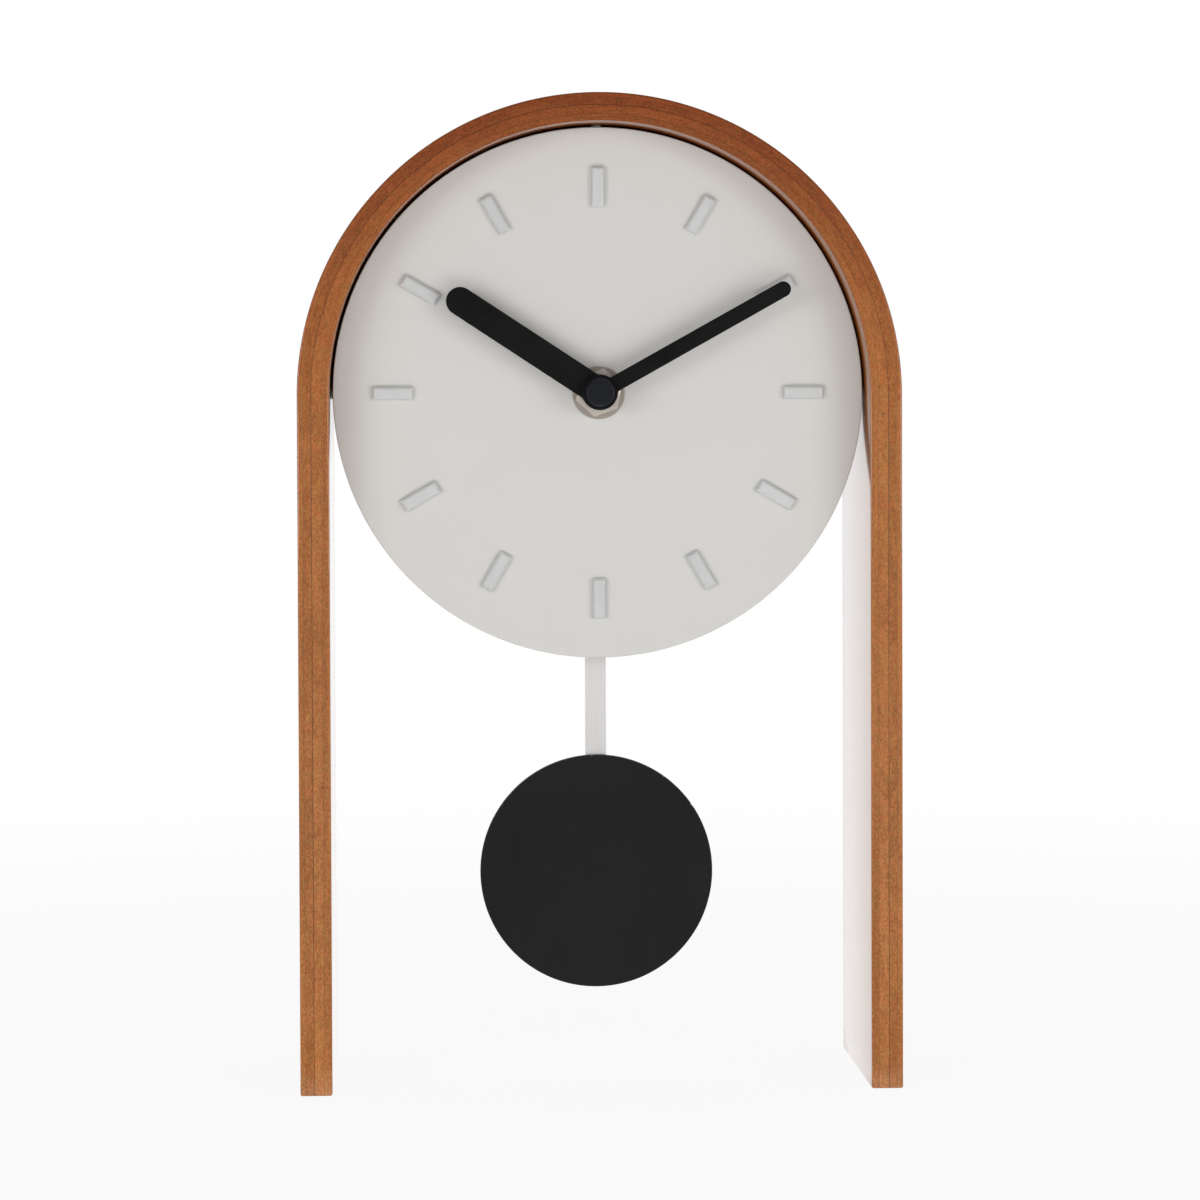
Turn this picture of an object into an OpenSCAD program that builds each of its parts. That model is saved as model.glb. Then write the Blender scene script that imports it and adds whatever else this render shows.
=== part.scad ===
// Desk pendulum clock: a white dial pinned inside a bent plywood arch, with a
// battery movement behind the dial and a disc pendulum that hangs from it.
// Millimetres. X runs to the right, -Y points at the viewer and +Z is up. The
// origin is on the table, under the middle of the arch.

/* [Arch] */
// Width of the arch over its two legs
arch_w = 170; // [166:1:200]
// Height of the arch from the table to its crown
arch_h = 281; // [265:1:320]
// Depth of the arch from front to back
arch_depth = 65; // [60:1:90]
// Thickness of the plywood in the legs
leg_t = 9; // [8:0.5:12]
// Thickness of the plywood at the crown
crown_t = 8; // [7.5:0.5:11]
// Width of the eased edges of the plywood
edge_ease = 0.6; // [0.3:0.1:1]

/* [Dial] */
// Gap all round between the dial and the arch
dial_gap = 0.8; // [0.4:0.1:2]
// Thickness of the dial disc
dial_t = 12; // [10:0.5:16]
// Depth of the dial's face behind the arch's front edge
dial_setback = 12; // [11:0.5:16]
// Thickness of the dial in front of the movement
dial_web = 3; // [2:0.5:5]
// Width of the eased edges of the dial
dial_ease = 0.4; // [0.2:0.1:1]
// Diameter of the pins that hold the dial in the arch
pin_d = 3; // [2:0.5:4]
// Depth of a pin in the plywood
pin_grip = 4; // [3:0.5:5]
// Depth of a pin in the dial
pin_reach = 9; // [6:1:16]
// Width of the felt strip in the gap behind the pins
felt_w = 3; // [1:0.5:4]

/* [Hour markers] */
// Distance from the edge of the dial to the middle of a marker
marker_inset = 16.9; // [14:0.1:22]
// Length of a marker
marker_l = 11.5; // [8:0.1:16]
// Width of a marker
marker_w = 3.8; // [3:0.1:6]
// Height of a marker above the dial
marker_h = 1.8; // [1.2:0.1:3]
// Width of the bevel round a marker's face
marker_bevel = 0.7; // [0.3:0.1:1]

/* [Hands] */
// Thickness of the sheet metal of both hands
hand_t = 0.6; // [0.4:0.1:1]
// Distance by which the hour hand stops short of the markers' middles
hour_hand_short = 7.4; // [2:0.1:24]
// Width of the hour hand
hour_hand_w = 8; // [5:0.5:9]
// Clock angle of the hour hand, clockwise from twelve
hour_hand_angle = 303.3; // [0:0.1:360]
// Distance by which the minute hand reaches past the markers' middles
minute_hand_past = 3.2; // [-4:0.1:12]
// Width of the minute hand next to its hub
minute_hand_root_w = 4.5; // [3:0.1:6]
// Width of the minute hand at its round tip
minute_hand_tip_w = 4.4; // [2:0.1:5]
// Clock angle of the minute hand, clockwise from twelve
minute_hand_angle = 60.8; // [0:0.1:360]
// Diameter of the round hub of each hand
hand_hub_d = 10; // [8:0.5:13]
// Gap between the hex nut and the hour hand
hour_hand_lift = 3; // [2:0.5:5]
// Gap between the hour hand and the minute hand
hand_space = 1.5; // [0.8:0.1:3]

/* [Centre fixing] */
// Diameter of the flat washer
washer_d = 15; // [12:0.5:20]
// Thickness of the flat washer
washer_t = 0.8; // [0.5:0.1:1.5]
// Width of the hex nut across its flats
nut_af = 12; // [10:0.5:14]
// Height of the hex nut
nut_h = 2.2; // [1.5:0.1:4]
// Turn of the hex nut from corner down, clockwise
nut_turn = 11.3; // [0:0.1:60]
// Outside diameter of the threaded bushing
bushing_d = 8; // [7:0.1:9]
// Diameter of the bushing's flange, moulded into the case
bushing_flange_d = 10; // [9.5:0.1:13]
// Length of bushing that stands out of the hex nut
bushing_stand = 1; // [0.4:0.1:2]
// Diameter of the closed nut on the hands
cap_d = 8; // [6:0.1:10]
// Height of the closed nut on the hands
cap_h = 2.7; // [2:0.1:4]
// Width of the chamfer round the closed nut's face
cap_chamfer = 0.4; // [0.2:0.1:0.8]

/* [Movement case] */
// Width of the movement case
case_w = 56; // [56:0.5:60]
// Depth of the movement case from front to back
case_t = 16; // [16:0.1:18]
// Height of the case above the hands' axis
case_above = 38; // [37:0.5:42]
// Depth of the case below the hands' axis
case_below = 32; // [32:0.5:36]
// Thickness of the case walls
case_wall = 1.5; // [1.2:0.1:1.8]
// Radius of the case corners
case_corner_r = 3; // [2:0.5:4]
// Depth of the front half of the case
case_split = 8; // [6:0.5:10]
// Gap between the case and the pocket in the dial
pocket_gap = 2; // [1:0.5:4]
// Diameter of the posts for the case screws
case_post_d = 4.6; // [4.4:0.1:5.4]
// Diameter of the case screws
case_screw_d = 2; // [1.6:0.1:2.4]
// Length of the case screws under the head
case_screw_l = 12; // [10:0.5:13]

/* [Motion work] */
// Tooth size of the wheels that drive the hour hand
motion_module = 0.6; // [0.55:0.01:0.6]
// Teeth of the cannon pinion on the minute arbor
cannon_teeth = 10; // [9:1:10]
// Teeth of the minute wheel
minute_teeth = 30; // [28:1:30]
// Teeth of the pinion on the minute wheel
minute_pinion_teeth = 8; // [8:1:9]
// Teeth of the hour wheel
hour_teeth = 32; // [30:1:32]
// Thickness of the motion wheels
motion_t = 1.2; // [0.8:0.1:1.3]
// Diameter of the minute arbor
arbor_d = 3; // [2.8:0.1:3]
// Diameter of the thread that takes the closed nut
arbor_thread_d = 2.5; // [2:0.1:2.6]
// Outside diameter of the hour pipe
pipe_d = 4.6; // [4.4:0.1:5]
// Diameter of the minute wheel's arbor
setting_arbor_d = 1.8; // [1.4:0.1:2]
// Diameter of the setting knob
knob_d = 8; // [6:0.5:9]
// Height of the setting knob
knob_h = 3; // [2:0.1:4]

/* [Step train] */
// Tooth size of the centre wheel and the third pinion
centre_module = 0.26; // [0.25:0.001:0.265]
// Tooth size of the seconds wheel and the fifth pinion
seconds_module = 0.4; // [0.38:0.005:0.41]
// Tooth size of the fifth wheel and the rotor pinion
rotor_module = 0.25; // [0.22:0.01:0.27]
// Teeth of every pinion in the step train
pinion_teeth = 8; // [8:1:9]
// Teeth of the centre wheel
centre_teeth = 64; // [60:1:64]
// Teeth of the third wheel
third_teeth = 60; // [56:1:60]
// Teeth of the seconds wheel
seconds_teeth = 40; // [38:1:41]
// Teeth of the fifth wheel
fifth_teeth = 48; // [44:1:50]
// Thickness of the step train's wheels
train_t = 0.8; // [0.6:0.1:0.9]
// Diameter of the step train's arbors
train_arbor_d = 1.2; // [1:0.1:1.3]
// Diameter of the step train's pivots
train_pivot_d = 0.8; // [0.5:0.1:0.9]

/* [Step motor] */
// Diameter of the rotor magnet
rotor_magnet_d = 5; // [4:0.1:5.4]
// Length of the rotor magnet
rotor_magnet_l = 2; // [1.5:0.1:2.2]
// Gap between the rotor magnet and the stator
rotor_gap = 0.5; // [0.3:0.1:0.8]
// Thickness of the stator plate
stator_t = 1; // [0.6:0.1:1.2]
// Diameter of the step coil's winding
step_coil_d = 8; // [7:0.1:8.4]
// Length of the step coil's winding
step_coil_l = 14; // [12:0.5:15]

/* [Pendulum] */
// Distance from the hands' axis down to the middle of the bob
bob_drop = 138.4; // [130:0.1:145]
// Diameter of the bob
bob_d = 67.4; // [50:0.1:80]
// Thickness of the bob
bob_t = 2; // [1.8:0.1:4]
// Width of the rod
rod_w = 6; // [4:0.1:7]
// Thickness of the rod
rod_t = 1; // [0.8:0.1:1.5]
// Length of rod behind the bob below its middle
rod_tail = 14; // [10:1:24]
// Distance from the top of the case down to the pendulum's pivot
pivot_inset = 5; // [4.5:0.5:6]
// Diameter of the pivot pin
pivot_d = 2; // [1.5:0.1:2.5]
// Width of the hanger
hanger_w = 5; // [4:0.1:6]
// Thickness of the hanger
hanger_t = 1.6; // [1.2:0.1:2]
// Distance from the bottom of the case down to the stud that takes the rod
stud_below = 4.5; // [4:0.5:6]
// Diameter of the hanger magnet
hanger_magnet_d = 5; // [4:0.1:6]
// Gap between the drive coil and the floor of the case
drive_gap = 0.5; // [0.2:0.1:1]
// Diameter of the drive coil's winding
drive_coil_d = 11; // [8:0.5:11]
// Thickness of the drive coil
drive_coil_t = 4.4; // [3:0.1:4.6]

/* [Battery] */
// Diameter of the battery
battery_d = 14.5; // [14:0.1:14.5]
// Length of the battery with its nub
battery_l = 50.5; // [48:0.5:51]
// Distance from the middle of the case down to the battery's middle
battery_lower = 1; // [0.5:0.1:1.5]

/* [Fits] */
// Radial clearance of a shaft that turns in its hole
running_gap = 0.05; // [0.03:0.01:0.1]
// Radial clearance of a pin or shaft that is pressed in
press_gap = 0.02; // [0.01:0.01:0.04]
// Gap between wheels that pass each other
layer_gap = 0.4; // [0.3:0.05:0.45]
// End play of the arbors between their plates
end_play = 0.2; // [0.1:0.05:0.3]

/* [Hidden] */
$fn = 96;
// Overlap that joins two shapes of one piece, and the reach of a cut past a face
join = 0.5;
HOURS = 12;
FULL_TURN = 360;
HALF_TURN = 180;
RIGHT_ANGLE = 90;

// Arch: both faces are an arc on straight legs, and every glue line lies between
arch_r = arch_w / 2;
arch_arc_z = arch_h - arch_r;
front_y = -arch_depth / 2;
// Share of the plywood's thickness at each glue line, from the outer face
ply_shares = [0, 0.18, 0.44, 0.76, 1];
function ply_r(share) = arch_r - share * leg_t;
function ply_arc_z(share) = arch_arc_z + share * (leg_t - crown_t);
inner_r = ply_r(1);

// The hands' axis is the middle of the arch's inner arc
hub_z = ply_arc_z(1);

// Dial
dial_r = inner_r - dial_gap;
dial_y = front_y + dial_setback;
web_y = dial_y + dial_web;
pin_y = dial_y + dial_t / 2;
pin_angles = [0, RIGHT_ANGLE, HALF_TURN];
felt_y = dial_y + dial_t - dial_ease - felt_w;

// The ring of markers follows the dial, and the hands follow the ring
marker_ring_r = dial_r - marker_inset;
hour_hand_reach = marker_ring_r - hour_hand_short;
minute_hand_reach = marker_ring_r + minute_hand_past;

// Depths of what is stacked on the movement's axis, from the dial forwards
washer_y = dial_y - washer_t;
nut_y = washer_y - nut_h;
bushing_y = nut_y - bushing_stand;
hour_hand_y = nut_y - hour_hand_lift - hand_t;
minute_hand_back_y = hour_hand_y - hand_space;
minute_hand_y = minute_hand_back_y - hand_t;
cap_y = minute_hand_y - cap_h;
// How far a hole's pipe or a thread stops short of the face in front of it
tip_gap = 0.5;
nut_corners = 6;

// Case
case_y = web_y;
inside_y = case_y + case_wall;
split_y = case_y + case_split;
back_inside_y = case_y + case_t - case_wall;
case_back_y = case_y + case_t;
case_h = case_above + case_below;
case_mid_z = (case_above - case_below) / 2;
// Distance from the outer walls to the middle of a screw post
post_inset = 3.4;
post_x = case_w / 2 - post_inset;
post_top_z = case_above - post_inset;
post_bottom_z = post_inset - case_below;
case_screw_head_d = 3.8;
case_screw_head_t = 1.2;
screw_slot_w = 0.6;
screw_slot_depth = 0.5;
screw_clearance = 0.1;
screw_tip_gap = 0.3;

// Battery bay, open at the back
bay_play = 0.25;
bay_floor_gap = 0.1;
rib_t = 1;
contact_room = 1.5;
contact_gap = 0.1;
contact_t = 0.4;
contact_w = 8;
contact_depth = 10;
contact_top = 2.4;
battery_nub_d = 5.5;
battery_nub_h = 1.2;
battery_rise = case_mid_z - battery_lower;
bay_x0 = case_wall - case_w / 2;
battery_x = bay_x0 + bay_play + battery_d / 2;
bay_x1 = battery_x + battery_d / 2 + bay_play;
bay_z0 = battery_rise - battery_l / 2 - contact_room;
bay_z1 = battery_rise + battery_l / 2 + contact_room;
battery_y = inside_y + bay_floor_gap + battery_d / 2;

// Wheels stand in layers behind each other
hour_wheel_y = inside_y + 0.3;
minute_wheel_y = hour_wheel_y + motion_t + layer_gap;
plate_gap = 0.6;
plate_t = 1;
plate_y = minute_wheel_y + motion_t + plate_gap;
plate_back_y = plate_y + plate_t;
centre_wheel_y = plate_back_y + layer_gap;
third_wheel_y = centre_wheel_y + train_t + layer_gap;
seconds_wheel_y = third_wheel_y + train_t + layer_gap;
fifth_wheel_y = seconds_wheel_y + train_t + layer_gap;
arbor_front_y = plate_back_y + end_play;
arbor_back_y = back_inside_y - end_play;
arbor_end_y = centre_wheel_y + train_t + 0.1;
pivot_l = 0.8;
pivot_socket = 1;

// Distances between the wheels' axes follow from their teeth
function axis_distance(module_size, a, b) = module_size * (a + b) / 2;
function matching_module(distance, a, b) = 2 * distance / (a + b);
function polar(r, angle) = [r * cos(angle), r * sin(angle)];
motion_distance = axis_distance(motion_module, cannon_teeth, minute_teeth);
hour_module = matching_module(motion_distance, minute_pinion_teeth, hour_teeth);
third_distance = axis_distance(centre_module, centre_teeth, pinion_teeth);
third_module = matching_module(third_distance, third_teeth, pinion_teeth);
fifth_distance = axis_distance(seconds_module, seconds_teeth, pinion_teeth);
rotor_distance = axis_distance(rotor_module, fifth_teeth, pinion_teeth);
minute_wheel_angle = 0;
third_angle = -90;
fifth_angle = 95;
rotor_angle = 55;
minute_wheel_at = polar(motion_distance, minute_wheel_angle);
third_at = polar(third_distance, third_angle);
fifth_at = polar(fifth_distance, fifth_angle);
rotor_at = fifth_at + polar(rotor_distance, rotor_angle);
seconds_at = [0, 0];

// Teeth: height above and below the pitch circle in modules, and the share of
// one pitch that a tooth fills at its root and at its tip
tooth_above = 0.8;
tooth_below = 1.15;
tooth_root_share = 0.6;
tooth_tip_share = 0.2;
// Phase of a wheel that meshes with another one, which lies at -direction from it
function mesh_phase(teeth, phase, driven_teeth, direction) =
    direction + HALF_TURN + HALF_TURN / driven_teeth - (phase - direction) * teeth / driven_teeth;
minute_wheel_phase = mesh_phase(cannon_teeth, 0, minute_teeth, minute_wheel_angle);
hour_wheel_phase = mesh_phase(minute_pinion_teeth, 0, hour_teeth, minute_wheel_angle + HALF_TURN);
third_pinion_phase = mesh_phase(centre_teeth, 0, pinion_teeth, third_angle);
third_wheel_phase = mesh_phase(pinion_teeth, 0, third_teeth, third_angle);
fifth_pinion_phase = mesh_phase(seconds_teeth, 0, pinion_teeth, fifth_angle);
rotor_pinion_phase = mesh_phase(fifth_teeth, 0, pinion_teeth, rotor_angle);

// Minute arbor and setting arbor
pipe_bore_d = arbor_d + 2 * running_gap;
bushing_bore_d = pipe_d + 2 * running_gap;
setting_pivot_d = 1.2;
setting_pivot_l = 0.9;
knob_lift = 0.3;
knob_grip = 2;
knob_y = case_back_y + knob_lift;

// Train plate
plate_x0 = bay_x1 + rib_t + 0.3;
plate_x1 = 24;
plate_z0 = -19;
plate_z1 = 20;
plate_posts = [[-7.8, 17.4], [21.5, 17.4], [-7.8, -16.6], [21.5, -16.6]];
plate_post_d = 4;
plate_screw_d = 1.6;
plate_screw_l = 4.2;
plate_screw_head_d = 3;
plate_screw_head_t = 0.9;

// Step motor
stator_lift = 1.4;
stator_y = plate_back_y + stator_lift;
stator_arm_w = 4;
stator_bar_h = 8.4;
stator_hole_d = rotor_magnet_d + 2 * rotor_gap;
coil_flange_t = 0.8;
coil_side_gap = 0.4;
stator_half_w = step_coil_l / 2 + coil_flange_t + coil_side_gap + stator_arm_w;
core_h = 4;
core_t = 1;
core_y = stator_y + stator_t;
core_mid_y = core_y + core_t / 2;
stator_peg_d = 1.4;
stator_boss_d = 3;
stator_peg_stand = 0.3;
stator_peg_drop = 1.3;
stator_pegs = [
    for (side = [-1, 1])
        rotor_at + [side * (stator_half_w - stator_arm_w / 2), -stator_peg_drop]
];
bobbin_d = 5.5;
bobbin_flange_d = step_coil_d + 0.6;
coil_rise = 1.9;
core_z = rotor_at[1] + stator_bar_h / 2 + bobbin_flange_d / 2 + coil_rise;
stator_top_z = core_z + core_h / 2;
rotor_magnet_y = stator_y + stator_t / 2 - rotor_magnet_l / 2;

// Circuit board, on the floor of the case and below the train plate
board_floor_gap = 0.3;
board_plate_gap = 1.3;
board_x0 = plate_x0 + 0.5;
board_x1 = 21;
board_z0 = case_wall + board_floor_gap - case_below;
board_z1 = plate_z0 - board_plate_gap;
board_mid_z = (board_z0 + board_z1) / 2;
board_t = 1;
board_y = inside_y + 5;
board_post_rise = 2.7;
board_posts = [for (x = [-7, 18]) [x, board_z0 + board_post_rise]];
board_post_d = 3;
board_peg_d = 1.5;
board_peg_stand = 0.4;
chip_w = 5;
chip_t = 1.2;
chip_at = [7, board_mid_z];
crystal_d = 2;
crystal_l = 6;
crystal_at = [10.8, board_mid_z];

// Drive coil
drive_bobbin_flange_t = 0.6;
drive_bobbin_flange_d = drive_coil_d + 1;
drive_bobbin_d = 4.4;
drive_bobbin_bore_d = 2;
drive_coil_y = back_inside_y - drive_coil_t;
drive_drop = case_below - case_wall - drive_gap - drive_bobbin_flange_d / 2;

// Pendulum
bob_z = hub_z - bob_drop;
pivot_rise = case_above - pivot_inset;
stud_drop = case_below + stud_below;
boss_d = 5;
boss_stand = 1;
boss_depth = 1.3;
hanger_front_gap = 0.2;
hanger_back_gap = 0.1;
hanger_y = case_back_y + boss_stand + hanger_front_gap;
hanger_back_y = hanger_y + hanger_t;
hanger_eye_d = 7;
hanger_boss_d = 8;
magnet_stand = 0.8;
retainer_d = 5;
retainer_t = 0.8;
stud_d = 3;
stud_head_d = 4.4;
stud_head_t = 0.8;
stud_play = 0.1;
keyhole_d = 4.8;
keyhole_drop = 5;
rod_tab_w = 10;
rod_tab_above = 5;
rod_tab_below = 10;
rod_tab_r = 2;
rod_y = hanger_back_y;
rod_back_y = rod_y + rod_t;
bob_y = rod_y - bob_t;
clip_w = 18;
clip_h = 8;
clip_cover = 0.6;
clip_play = 0.1;
clip_screw_x = 6.2;
clip_screw_d = 2;
clip_screw_grip = 1.4;
clip_screw_head_d = 3.6;
clip_screw_head_t = 1;

// Colours
ply_face_color = "#a56e42";
ply_core_color = "#93593a";
white_lacquer = "#d8d7d3";
marker_white = "#e0e3e2";
hand_black = "#1e1c1a";
nickel = "#b9b2a6";
brass = "#b99a52";
steel = "#a9acb0";
felt_black = "#1a1a1b";
case_black = "#232426";
gear_white = "#e9e6da";
copper = "#b5652f";
board_green = "#2f6b45";
aluminium = "#d1d0ce";
bob_black = "#252525";
battery_grey = "#70757c";

function marker_name(hour) = str("hour_marker_", hour < 10 ? "0" : "", hour);

// Shapes that several pieces use

// Gives a drawing in X and Z the thickness t, from depth y backwards
module slab(y, t) {
    translate([0, y + t, 0])
        rotate([RIGHT_ANGLE, 0, 0])
            linear_extrude(t)
                children();
}

// Gives a drawing in Y and Z the width w, from x to the right
module beam(x, w) {
    translate([x, 0, 0])
        rotate([RIGHT_ANGLE, 0, RIGHT_ANGLE])
            linear_extrude(w)
                children();
}

// Round bar along Y, at a point [x, z], from depth y backwards
module bar(at, y, t, d) {
    translate([at[0], y + t, at[1]])
        rotate([RIGHT_ANGLE, 0, 0])
            cylinder(h = t, d = d);
}

// Round bar along X
module cross_bar(x, y, z, l, d) {
    translate([x, y, z])
        rotate([0, RIGHT_ANGLE, 0])
            cylinder(h = l, d = d);
}

module at_hub() {
    translate([0, 0, hub_z])
        children();
}

// Rectangle round the origin with round corners
module round_rect(w, h, r) {
    square([w - 2 * r, h], center = true);
    square([w, h - 2 * r], center = true);
    for (sx = [-1, 1], sz = [-1, 1])
        translate([sx * (w / 2 - r), sz * (h / 2 - r)])
            circle(r);
}

// Rectangle between two corners
module box_area(x0, z0, x1, z1) {
    translate([x0, z0])
        square([x1 - x0, z1 - z0]);
}

// Toothed wheel outline round the origin, with straight flanks
module teeth_area(teeth, module_size, phase) {
    pitch_r = module_size * teeth / 2;
    root_r = pitch_r - tooth_below * module_size;
    tip_r = pitch_r + tooth_above * module_size;
    pitch = FULL_TURN / teeth;
    polygon([
        for (i = [0:teeth - 1])
            for (corner = [[root_r, -tooth_root_share], [tip_r, -tooth_tip_share],
                           [tip_r, tooth_tip_share], [root_r, tooth_root_share]])
                polar(corner[0], phase + (i + corner[1] / 2) * pitch)
    ]);
}

module gear(at, y, t, teeth, module_size, phase) {
    translate([at[0], 0, at[1]])
        slab(y, t)
            teeth_area(teeth, module_size, phase);
}

// Arch

// Everything inside one face or glue line of the arch, down to the height bottom
module arch_area(share, bottom) {
    r = ply_r(share);
    arc_z = ply_arc_z(share);
    translate([0, arc_z])
        circle(r);
    translate([-r, bottom])
        square([2 * r, arc_z - bottom]);
}

// Section of the wood that easing takes off both edges of a face, in radius and Y
module ease_section(r, side) {
    reach = edge_ease + join;
    for (end = [-1, 1])
        translate([r, end * arch_depth / 2])
            polygon([
                [-side * reach, end * join],
                [side * join, -end * reach],
                [side * join, end * join]
            ]);
}

// Cut that eases both edges of a face: side is 1 on the outer face, -1 on the inner
module ease_edges(share, side) {
    r = ply_r(share);
    arc_z = ply_arc_z(share);
    translate([0, 0, arc_z])
        rotate([RIGHT_ANGLE, 0, 0])
            rotate_extrude(angle = HALF_TURN)
                ease_section(r, side);
    for (flip = [0, 1])
        mirror([flip, 0, 0])
            translate([0, 0, -join])
                linear_extrude(arc_z + join)
                    ease_section(r, side);
}

module ply(index) {
    slab(front_y, arch_depth)
        difference() {
            arch_area(ply_shares[index], 0);
            arch_area(ply_shares[index + 1], -join);
        }
}

// The dial pins, each grown by a radial clearance
module pin_shapes(gap) {
    length = pin_reach + dial_gap + pin_grip;
    for (angle = pin_angles)
        translate([0, pin_y, hub_z])
            rotate([0, RIGHT_ANGLE - angle, 0])
                translate([0, 0, dial_r - pin_reach])
                    cylinder(h = length, d = pin_d + 2 * gap);
}

module arch_outer_face_ply() {
    color(ply_face_color)
        difference() {
            ply(0);
            ease_edges(0, 1);
            for (side = [-1, 1])
                translate([side * arch_r, 0, 0])
                    rotate([0, side * RIGHT_ANGLE / 2, 0])
                        cube([edge_ease * sqrt(2), arch_depth + join, 4 * edge_ease], center = true);
        }
}

module arch_outer_core_ply() {
    color(ply_core_color)
        ply(1);
}

module arch_inner_core_ply() {
    color(ply_face_color)
        difference() {
            ply(2);
            pin_shapes(press_gap);
        }
}

module arch_inner_face_ply() {
    color(ply_core_color)
        difference() {
            ply(3);
            ease_edges(1, -1);
            pin_shapes(press_gap);
        }
}

// Dial

// Solid disc round the hands' axis with eased edges
module eased_disc(r, y, t, ease) {
    translate([0, y + t, 0])
        rotate([RIGHT_ANGLE, 0, 0])
            rotate_extrude()
                polygon([[0, 0], [r - ease, 0], [r, ease], [r, t - ease], [r - ease, t], [0, t]]);
}

module dial_disc() {
    color(white_lacquer)
        difference() {
            at_hub() {
                difference() {
                    eased_disc(dial_r, dial_y, dial_t, dial_ease);
                    slab(web_y, dial_t)
                        translate([0, case_mid_z])
                            round_rect(case_w + 2 * pocket_gap, case_h + 2 * pocket_gap,
                                       case_corner_r + pocket_gap);
                    bar([0, 0], dial_y - join, dial_web + 2 * join, bushing_d + 2 * screw_clearance);
                }
            }
            pin_shapes(press_gap);
        }
}

module dial_pins() {
    color(steel)
        pin_shapes(0);
}

// Felt strip that closes the gap over the upper half of the dial, behind the pins
module dial_gap_felt() {
    color(felt_black)
        difference() {
            at_hub()
                slab(felt_y, felt_w)
                    difference() {
                        circle(inner_r - press_gap);
                        circle(dial_r + press_gap);
                        translate([-arch_r, -arch_r])
                            square([arch_w, arch_r]);
                    }
            pin_shapes(press_gap);
        }
}

// Bar with a bevel on all four sides of its face, along Z, standing on the dial
module marker_shape() {
    half_w = marker_w / 2;
    half_l = marker_l / 2;
    intersection() {
        translate([0, 0, -half_l])
            linear_extrude(marker_l)
                polygon([
                    [-half_w, dial_y],
                    [-half_w, dial_y - marker_h + marker_bevel],
                    [marker_bevel - half_w, dial_y - marker_h],
                    [half_w - marker_bevel, dial_y - marker_h],
                    [half_w, dial_y - marker_h + marker_bevel],
                    [half_w, dial_y]
                ]);
        beam(-half_w, marker_w)
            polygon([
                [dial_y, -half_l],
                [dial_y - marker_h + marker_bevel, -half_l],
                [dial_y - marker_h, marker_bevel - half_l],
                [dial_y - marker_h, half_l - marker_bevel],
                [dial_y - marker_h + marker_bevel, half_l],
                [dial_y, half_l]
            ]);
    }
}

module hour_marker(hour) {
    color(marker_white)
        at_hub()
            rotate([0, hour * FULL_TURN / HOURS, 0])
                translate([0, 0, marker_ring_r])
                    marker_shape();
}

// Centre fixing and hands

module centre_bushing() {
    color(brass)
        at_hub()
            difference() {
                union() {
                    bar([0, 0], bushing_y, case_y - bushing_y + join, bushing_d);
                    bar([0, 0], case_y, case_wall, bushing_flange_d);
                }
                bar([0, 0], bushing_y - join, inside_y - bushing_y + 2 * join, bushing_bore_d);
            }
}

module fixing_washer() {
    color(nickel)
        at_hub()
            difference() {
                bar([0, 0], washer_y, washer_t, washer_d);
                bar([0, 0], washer_y - join, washer_t + 2 * join, bushing_d + 2 * screw_clearance);
            }
}

module fixing_nut() {
    corner_d = nut_af / cos(HALF_TURN / nut_corners);
    color(nickel)
        at_hub()
            difference() {
                slab(nut_y, nut_h)
                    rotate(-RIGHT_ANGLE - nut_turn)
                        circle(d = corner_d, $fn = nut_corners);
                bar([0, 0], nut_y - join, nut_h + 2 * join, bushing_d + 2 * press_gap);
            }
}

// Hand pointing up: a strip that may taper, with a round tip and a round hub
module hand_area(reach, root_w, tip_w) {
    tip_z = reach - tip_w / 2;
    circle(d = hand_hub_d);
    polygon([[-root_w / 2, 0], [root_w / 2, 0], [tip_w / 2, tip_z], [-tip_w / 2, tip_z]]);
    translate([0, tip_z])
        circle(d = tip_w);
}

module hour_hand() {
    color(hand_black)
        at_hub()
            slab(hour_hand_y, hand_t)
                rotate(-hour_hand_angle)
                    difference() {
                        hand_area(hour_hand_reach, hour_hand_w, hour_hand_w);
                        circle(d = pipe_d + 2 * press_gap);
                    }
}

module minute_hand() {
    color(hand_black)
        at_hub()
            slab(minute_hand_y, hand_t)
                rotate(-minute_hand_angle)
                    difference() {
                        hand_area(minute_hand_reach, minute_hand_root_w, minute_hand_tip_w);
                        circle(d = arbor_thread_d + 2 * press_gap);
                    }
}

module hand_nut() {
    cap_r = cap_d / 2;
    color(hand_black)
        at_hub()
            difference() {
                translate([0, minute_hand_y, 0])
                    rotate([RIGHT_ANGLE, 0, 0])
                        rotate_extrude()
                            polygon([
                                [0, 0],
                                [cap_r, 0],
                                [cap_r, cap_h - cap_chamfer],
                                [cap_r - cap_chamfer, cap_h],
                                [0, cap_h]
                            ]);
                bar([0, 0], cap_y + tip_gap, cap_h, arbor_thread_d + 2 * press_gap);
            }
}

// Movement case

module case_area(inset) {
    translate([0, case_mid_z])
        round_rect(case_w - 2 * inset, case_h - 2 * inset, case_corner_r - inset);
}

// Ribs on three sides of the battery bay; the case wall is the fourth
module bay_ribs_area() {
    difference() {
        box_area(bay_x0 - join, bay_z0 - rib_t, bay_x1 + rib_t, bay_z1 + rib_t);
        box_area(bay_x0 - 2 * join, bay_z0, bay_x1, bay_z1);
    }
}

module bay_area() {
    box_area(bay_x0, bay_z0, bay_x1, bay_z1);
}

module at_case_posts() {
    for (x = [-post_x, post_x], z = [post_bottom_z, post_top_z])
        translate([x, 0, z])
            children();
}

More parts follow.
